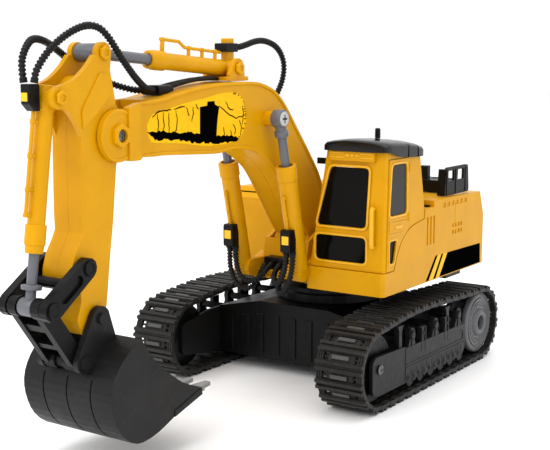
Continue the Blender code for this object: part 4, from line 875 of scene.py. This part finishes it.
def make_boom_cylinder(side, word):
    x, base, eye = BOOM_CYL_X, BOOM_CYL_BASE, BOOM_CYL_EYE
    barrel = sleeve(base, eye, x, [(2.5, 4.9), (3.5, 5.6), (60.0, 5.6), (60.5, 6.2), (68.5, 6.2), (69.2, 5.9),
                                   (69.4, 5.3), (69.4, 4.5), (62.0, 4.4)])
    heel = rod_x(x - 3.5, x + 3.5, base, 5.4, 40, 0.5)
    step = aside(base, eye, 6.7)
    rail = gauge_rail(base, eye, step, 20, 52.4, (38, 50.8), x)
    tube_body = word + "_lift_tube"
    node = "boom_cylinder_tube_" + word
    piece("lift_barrel_" + word, sided(side, [barrel, heel, *rail]), YELLOW, tube_body, 0.0, node)
    _, y, z = beside(base, eye, 24, step, 1.15, x)
    corners = [(y - 3.4, z - 7.0), (y + 3.4, z - 7.0), (y + 3.4, z + 7.0), (y - 3.4, z + 7.0)]
    block = prism(rounded(corners, 1.8, 5), "X", x - 3.5, x + 3.5)
    collars = [rod((at, y + 1.4, z - 8.4), (at, y + 1.4, z - 6.5), 2.3, 24) for at in (x - 2.2, x + 2.2)]
    piece("lift_block_" + word, sided(side, [block, *collars]), BLACK, tube_body, 0.4, node)
    label = box((x - 2.3, y - 3.6, z - 2.0), (x + 2.5, y - 3.2, z + 3.2))
    piece("lift_label_" + word, sided(side, [label]), YELLOW_BRIGHT, tube_body, 0.12)
    length = apart(base, eye)
    shaft = sleeve(base, eye, x, [(45, 2.7), (length - 11.2, 2.7), (length - 10.8, 4.0), (length - 10.4, 4.2),
                                  (length - 7.8, 4.2), (length - 7.4, 4.0), (length - 7.0, 3.2),
                                  (length - 3.0, 3.6)])
    ring = rod_x(18.1, 24.5, eye, 5.4, 48, 0.5)
    piece("lift_rod_" + word, sided(side, [shaft, ring]), GREY, word + "_lift_rod", 0.0,
          "boom_cylinder_rod_" + word)
    face = turned([(0, 4.3), (0.7, 4.3), (1.0, 4.0), (1.0, 0.6)], (24.1, *eye), (1, 0, 0), 40)
    piece("lift_eye_face_" + word, sided(side, [face]), PALE_GREY, word + "_lift_rod", 0.0,
          "boom_cylinder_rod_" + word)
    # Painted shade: the cross recess in the eye's cap is drawn as a thin black cross on the pale face.
    cross = [box((24.9, eye[0] - a, eye[1] - b), (25.15, eye[0] + a, eye[1] + b))
             for a, b in ((2.4, 0.55), (0.55, 2.4))]
    piece("lift_eye_cross_painted_shade_" + word, sided(side, cross), ROOF, word + "_lift_rod", 0.05)


def make_stick_cylinder():
    base, eye = STICK_CYL_BASE, STICK_CYL_EYE
    barrel = sleeve(base, eye, 0, [(2.0, 4.6), (56.0, 4.6), (56.5, 5.3), (64.8, 5.3), (65.6, 4.9),
                                   (67.8, 4.8), (68.0, 4.5), (68.0, 3.2), (60.0, 3.1)])
    heel = rod_x(-6.8, 6.8, base, 4.6, 40, 0.5)
    up = aside(base, eye, -8.6)
    rail = gauge_rail(base, eye, up, 5, 38, (10, 22, 34), 0)
    for start, low, stop, high, radius in ((37.1, 0.97, 43.4, 1.36, 0.92), (42.1, 1.33, 58.6, 1.33, 0.95),
                                           (56.6, 0.4, 56.6, 1.45, 1.2)):
        rail.append(rod(beside(base, eye, start, up, low, 0), beside(base, eye, stop, up, high, 0),
                        radius, 16))
    y, z = base
    piece("crowd_barrel", [barrel, heel, *rail], YELLOW, "crowd_tube", 0.0, "stick_cylinder_tube")
    post = box((-2.6, y - 0.6, z + 3), (2.6, y + 5.4, z + 17.0))
    cross = box((-4.2, y - 4.6, z + 9.2), (4.2, y + 7.4, z + 14.2))
    piece("crowd_post", [post], YELLOW, "crowd_tube", 0.6, "stick_cylinder_tube")
    piece("crowd_block", [cross], BLACK, "crowd_tube", 0.6, "stick_cylinder_tube")
    length = apart(base, eye)
    shaft = sleeve(base, eye, 0, [(30, 2.9), (length - 3, 2.9)])
    piece("crowd_rod", [shaft, rod_x(-6.7, 6.7, eye, 4.6, 40, 0.5)], GREY, "crowd_rod", 0.0,
          "stick_cylinder_rod")


def make_bucket_cylinder():
    base, eye = BUCKET_CYL_BASE, LINK_END
    barrel = sleeve(base, eye, 0, [(-5.8, 4.2), (-5.4, 4.8), (6.0, 4.8), (6.5, 4.3), (60.0, 4.3), (60.5, 5.1),
                                   (69.8, 5.1), (70.3, 4.6), (73.8, 4.4), (74.0, 4.1), (74.0, 2.95),
                                   (66.0, 2.9)])
    heel = rod_x(-6.7, 6.7, base, 4.6, 40, 0.5)
    front = aside(base, eye, -7.2)
    rail = gauge_rail(base, eye, front, 4, 56, (12, 28, 44, 56), 0)
    piece("curl_barrel", [barrel, heel, *rail], YELLOW, "curl_tube", 0.0, "bucket_cylinder_tube")
    y, z = base
    side_view = [(y - 13.1, z + 6.6), (y - 6.4, z + 6.6), (y - 6.4, z - 6.1), (y - 9.6, z - 6.1),
                 (y - 13.1, z - 2.6)]
    piece("curl_block", [prism(side_view, "X", -3.0, 3.0)], BLACK, "curl_tube", 0.5, "bucket_cylinder_tube")
    label = box((-2.4, y - 13.4, z - 1.4), (1.6, y - 12.9, z + 2.6))
    piece("curl_label", [label], YELLOW_BRIGHT, "curl_tube", 0.12)
    length = apart(base, eye)
    shaft = sleeve(base, eye, 0, [(34, 2.5), (length - 10.9, 2.5), (length - 10.6, 4.8), (length - 10.3, 5.0),
                                  (length - 8.7, 5.0), (length - 8.4, 4.8), (length - 8.1, 2.5),
                                  (length - 2, 2.7)])
    piece("curl_rod", [shaft, rod_x(-4.6, 4.6, eye, 4.6, 40, 0.5)], GREY, "curl_rod", 0.0,
          "bucket_cylinder_rod")


# ---- hoses

BUCKET_HOSE_RIGHT = [
    (-3.0, -270.6, 194.6), (-3.5, -270.8, 199.6), (-4.5, -269.6, 205.8), (-6.0, -265.0, 211.8),
    (-8.5, -258.4, 214.8), (-11.4, -248.4, 214.0), (-14.2, -236.9, 209.6), (-15.6, -223.3, 202.4),
    (-14.2, -210.0, 196.0), (-10.5, -199.0, 191.8), (-5.6, -191.4, 189.4), (-3.0, -185.2, 188.9),
]
BUCKET_HOSE_LEFT = [
    (3.0, -269.8, 194.6), (3.4, -268.4, 200.4), (4.0, -262.6, 207.8), (5.0, -255.6, 213.8),
    (6.2, -247.0, 218.8), (7.4, -238.5, 221.4), (8.4, -231.2, 220.4), (9.2, -226.0, 216.4),
    (9.6, -221.6, 211.4), (9.4, -216.6, 206.0), (8.8, -210.6, 200.6), (7.4, -203.6, 195.6),
    (4.6, -193.4, 190.6), (3.0, -185.2, 188.9),
]
STICK_LINE_LEFT = [
    (3.2, -171.5, 190.6), (3.3, -163.5, 192.2), (3.5, -152.0, 193.9), (3.6, -141.4, 194.6),
    (3.4, -130.2, 194.4),
]
STICK_LINE_RIGHT = [
    (-3.2, -171.5, 190.4), (-3.4, -163.6, 191.6), (-3.5, -153.2, 192.9), (-3.6, -143.4, 193.8),
    (-3.4, -130.2, 194.2),
]
STICK_HOSE = [
    (0.0, -110.0, 211.9), (0.0, -104.0, 212.1), (0.0, -97.0, 213.4), (0.0, -89.1, 215.2), (0.0, -81.2, 215.9),
    (0.0, -73.4, 214.9), (0.0, -66.0, 212.4), (0.0, -60.4, 208.0), (0.0, -57.4, 202.4), (0.0, -57.6, 196.0),
    (0.0, -60.4, 189.6), (0.0, -66.6, 182.0), (0.0, -70.6, 178.6),
]
BOOM_HOSE_OUTER = [
    (23.4, -82.6, 88.4), (23.4, -82.8, 83.0), (22.6, -83.2, 76.2), (20.4, -83.0, 69.4), (17.0, -82.4, 64.8),
    (13.0, -80.6, 63.0), (9.8, -77.4, 64.4), (8.2, -73.6, 68.6), (7.7, -70.4, 73.4), (7.6, -66.4, 76.6),
]
BOOM_HOSE_INNER = [
    (19.0, -82.6, 88.4), (18.8, -82.9, 83.4), (17.6, -83.1, 77.0), (15.0, -83.0, 71.4), (11.6, -81.2, 68.6),
    (7.8, -78.6, 68.6), (4.6, -75.0, 71.2), (3.4, -71.0, 74.8), (3.0, -66.1, 77.0),
]
RIB_PITCH = 2.0
CUFF_LENGTH = 1.6
CUFF_R = 1.85
VALLEY_R = 1.2
RIB_HEIGHT = 0.72


def ribbed(s, whole):
    """The radius of a corrugated hose: rounded ribs with narrower valleys, and smooth cuffs at the ends."""
    if min(s, whole - s) < CUFF_LENGTH:
        return CUFF_R
    wave = 0.5 + 0.5 * math.cos(math.tau * s / RIB_PITCH)
    return VALLEY_R + RIB_HEIGHT * wave ** 0.75


def hose(name, route, node):
    """A ribbed hose in place of the node; it rides on no body."""
    tubes = [tube(route, ribbed, 14, 0.4)]
    obj = piece(name, tubes, RUBBER, None, 0.0, smooth=60.0)
    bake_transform(obj)
    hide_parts(node)


def make_bucket_hose(word, route, split):
    """Two lengths that meet over the stick, one by the curl cylinder and one by the boom; neither rides on a
    body.
    """
    fine = smooth_through(route, 3)
    front, back = fine[:split * 3 + 1], fine[split * 3:]
    node = "bucket_hose_" + word
    hose("curl_hose_" + word, front, node)
    hose("arm_hose_" + word, back, node)


def make_hoses():
    make_bucket_hose("left", BUCKET_HOSE_LEFT, 5)
    make_bucket_hose("right", BUCKET_HOSE_RIGHT, 5)
    hose("crowd_hose", STICK_HOSE,
         "stick_cylinder_hose")
    for word, route in (("left", STICK_LINE_LEFT), ("right", STICK_LINE_RIGHT)):
        line = tube(route, 1.3, 16, 1.5)
        piece("arm_line_" + word, [line], RUBBER, "boom", 0.0, "stick_line_" + word)
    for side, word in ((1, "left"), (-1, "right")):
        for name, route in (("outer", BOOM_HOSE_OUTER), ("inner", BOOM_HOSE_INNER)):
            path = [(side * x, y, z) for x, y, z in route]
            hose("lift_hose_%s_%s" % (name, word), path,
                 "boom_hose_%s_%s" % (name, word))


# ---- cab

CAB_FRONT_Y = -63.5
DOOR_FACE_X = 76.6
DOOR_HINGE_Y = -34.8
WINDSCREEN = [(28.6, 105.0), (63.0, 105.0), (65.0, 141.2), (38.4, 141.2)]
LOW_WINDSCREEN = [(28.0, 83.6), (63.0, 83.6), (63.0, 99.2), (28.0, 99.2)]
DOOR_WINDOW = [(-59.2, 112.6), (-37.4, 112.6), (-38.0, 143.2), (-56.4, 143.2)]
DOOR_LOW_WINDOW = [(-58.6, 84.0), (-52.8, 84.0), (-49.8, 97.6), (-58.6, 97.6)]


def grown(outline, by):
    cy = sum(p[0] for p in outline) / len(outline)
    cz = sum(p[1] for p in outline) / len(outline)
    return [(y + math.copysign(by, y - cy), z + math.copysign(by, z - cz)) for y, z in outline]


def frame_ring(outline, radius, width, axis, low, high):
    """A raised rim round an opening."""
    return carved([prism(rounded(grown(outline, width), radius + width, 6), axis, low, high)],
                  [prism(rounded(outline, radius, 6), axis, low - 1, high + 1)])


ROOF_STATIONS = [
    (-66.6, 155.2, 151.2, 0.9), (-65.8, 156.6, 151.0, 0.96), (-63.6, 157.1, 151.0, 0.99),
    (-60.0, 157.3, 150.2, 1.0), (-54.0, 157.2, 148.4, 1.0), (-46.0, 156.9, 147.2, 1.0),
    (-36.0, 156.0, 146.6, 1.0), (-27.0, 154.8, 146.2, 1.0), (-20.5, 153.4, 146.2, 0.99),
    (-18.4, 152.2, 147.4, 0.95),
]


def make_cab_roof():
    """The black lid: domed in front, lower at the back, with a deep notched skirt over the door."""
    sections = []
    for y, top, low, share in ROOF_STATIONS:
        line = [(34.2, 151.0), (34.2, top - 2.6), (35.6, top - 1.2), (39.5, top - 0.4), (47.0, top + 0.5),
                (56.0, top + 0.9), (68.0, top + 0.5), (74.6, top - 0.5), (77.6, top - 1.7), (78.6, top - 3.0),
                (78.6, low), (77.0, low - 0.02), (76.9, 150.98)]
        sections.append([(56.4 + (x - 56.4) * share, y, z) for x, z in line])
    notches = [prism([(y - 1.0, 145), (y + 1.0, 145), (y + 0.5, 155), (y - 0.5, 155)], "X", 77.7, 80)
               for y in (-40.0, -27.5)]
    piece("roof_lid", [carved([lofted(sections)], notches)], ROOF, "house", 0.35, "cab_roof")
    foot = turned([(-1.4, 2.5), (-0.3, 2.4), (0.1, 1.9)], (60, -45, 157.4), (0, 0, 1), 32)
    piece("antenna_foot", [foot], ROOF, "house", 0.0)


def make_cab_details():
    front = CAB_FRONT_Y
    # The rims, grip, visor marks, door lines and handle take the painted-highlight yellow.
    rims = [frame_ring(WINDSCREEN, 3.0, 1.5, "Y", front - 0.55, front + 0.2),
            frame_ring(LOW_WINDSCREEN, 3.0, 1.5, "Y", front - 0.55, front + 0.2)]
    piece("windscreen_rims", rims, RIM_PAINTED_HIGHLIGHT, "house", 0.35)
    grip = tube([(68.4, front - 0.5, 94.2), (68.4, front - 2.2, 94.6), (68.4, front - 2.9, 97.0),
                 (68.4, front - 2.9, 106.0), (68.4, front - 2.9, 115.0), (68.4, front - 2.2, 117.4),
                 (68.4, front - 0.5, 117.8)], 1.35, 16, 0.8)
    visor = [box((x, front - 2.0, z), (x + 8.6, front - 1.2, z + 0.7))
             for x in (39.6, 59.6) for z in (149.4, 146.8)]
    for x in (50.6, 54.0, 57.4):
        visor.append(turned([(0, 1.0), (0.5, 0.85), (0.75, 0.3)], (x, front - 1.55, 148.4), (0, -1, 0), 20))
    piece("cab_grip", [grip, *visor], RIM_PAINTED_HIGHLIGHT, "house", 0.0)
    hinges = [rod((DOOR_FACE_X + 0.15, DOOR_HINGE_Y, z), (DOOR_FACE_X + 0.15, DOOR_HINGE_Y, z + 5.0), 0.85,
                  20)
              for z in (137.5, 107.5)]
    piece("door_hinges", hinges, YELLOW, "house", 0.0)
    door_rims = [frame_ring(DOOR_WINDOW, 3.0, 1.3, "X", DOOR_FACE_X - 0.2, DOOR_FACE_X + 0.35),
                 frame_ring(DOOR_LOW_WINDOW, 1.6, 1.0, "X", DOOR_FACE_X - 0.2, DOOR_FACE_X + 0.35)]
    door_rims.append(box((DOOR_FACE_X, -59.2, 109.6), (DOOR_FACE_X + 0.3, -36.6, 110.2)))
    door_rims.append(box((DOOR_FACE_X, -59.2, 101.2), (DOOR_FACE_X + 0.3, -38.0, 101.8)))
    door_rims.append(box((DOOR_FACE_X + 0.3, -53.0, 104.6), (DOOR_FACE_X + 0.9, -44.0, 106.4)))
    piece("door_rims", door_rims, RIM_PAINTED_HIGHLIGHT, "door", 0.25)
    pane = prism(rounded(grown(DOOR_LOW_WINDOW, -GAP), 1.4), "X", DOOR_FACE_X - 1.5, DOOR_FACE_X - 0.9)
    piece("door_low_window", [pane], WINDOW, "door", 0.1)


# ---- screws and small things

def make_arm_fittings(side, word):
    for name, x, spot, body in (("eye", 10.4, STICK_CYL_EYE, "stick"),
                                ("curl", 10.4, BUCKET_CYL_BASE, "stick"),
                                ("crowd", 10.3, STICK_CYL_BASE, "boom")):
        boss = hex_boss(x, spot, 3.7, 1.5, 1.7, 0.6)
        piece("boss_%s_%s" % (name, word), sided(side, [boss]), YELLOW, body, 0.2)
    for name, spot, radius in (("arm", LINK_PIVOT, 3.6), ("rod", LINK_END, 3.9)):
        head = turned([(0, radius), (0.5, radius), (0.9, radius - 0.3), (0.9, radius - 1.2),
                       (0.4, radius - 1.5),
                       (0.4, 0.8)], at_x(16.4, spot), (1, 0, 0), 32)
        piece("pin_%s_%s" % (name, word), sided(side, [head]), BLACK, "tipping_arms", 0.0)


make_camera()
make_stage()
dress_cad()
for make in (make_belt, make_sprocket, make_idler, make_frame_details, make_boom, make_boom_sticker,
             make_stick,
             make_house_sticker, make_boom_cylinder, make_arm_fittings):
    both_sides(make)
make_stick_cylinder()
make_bucket_cylinder()
make_hoses()
make_cab_roof()
make_cab_details()
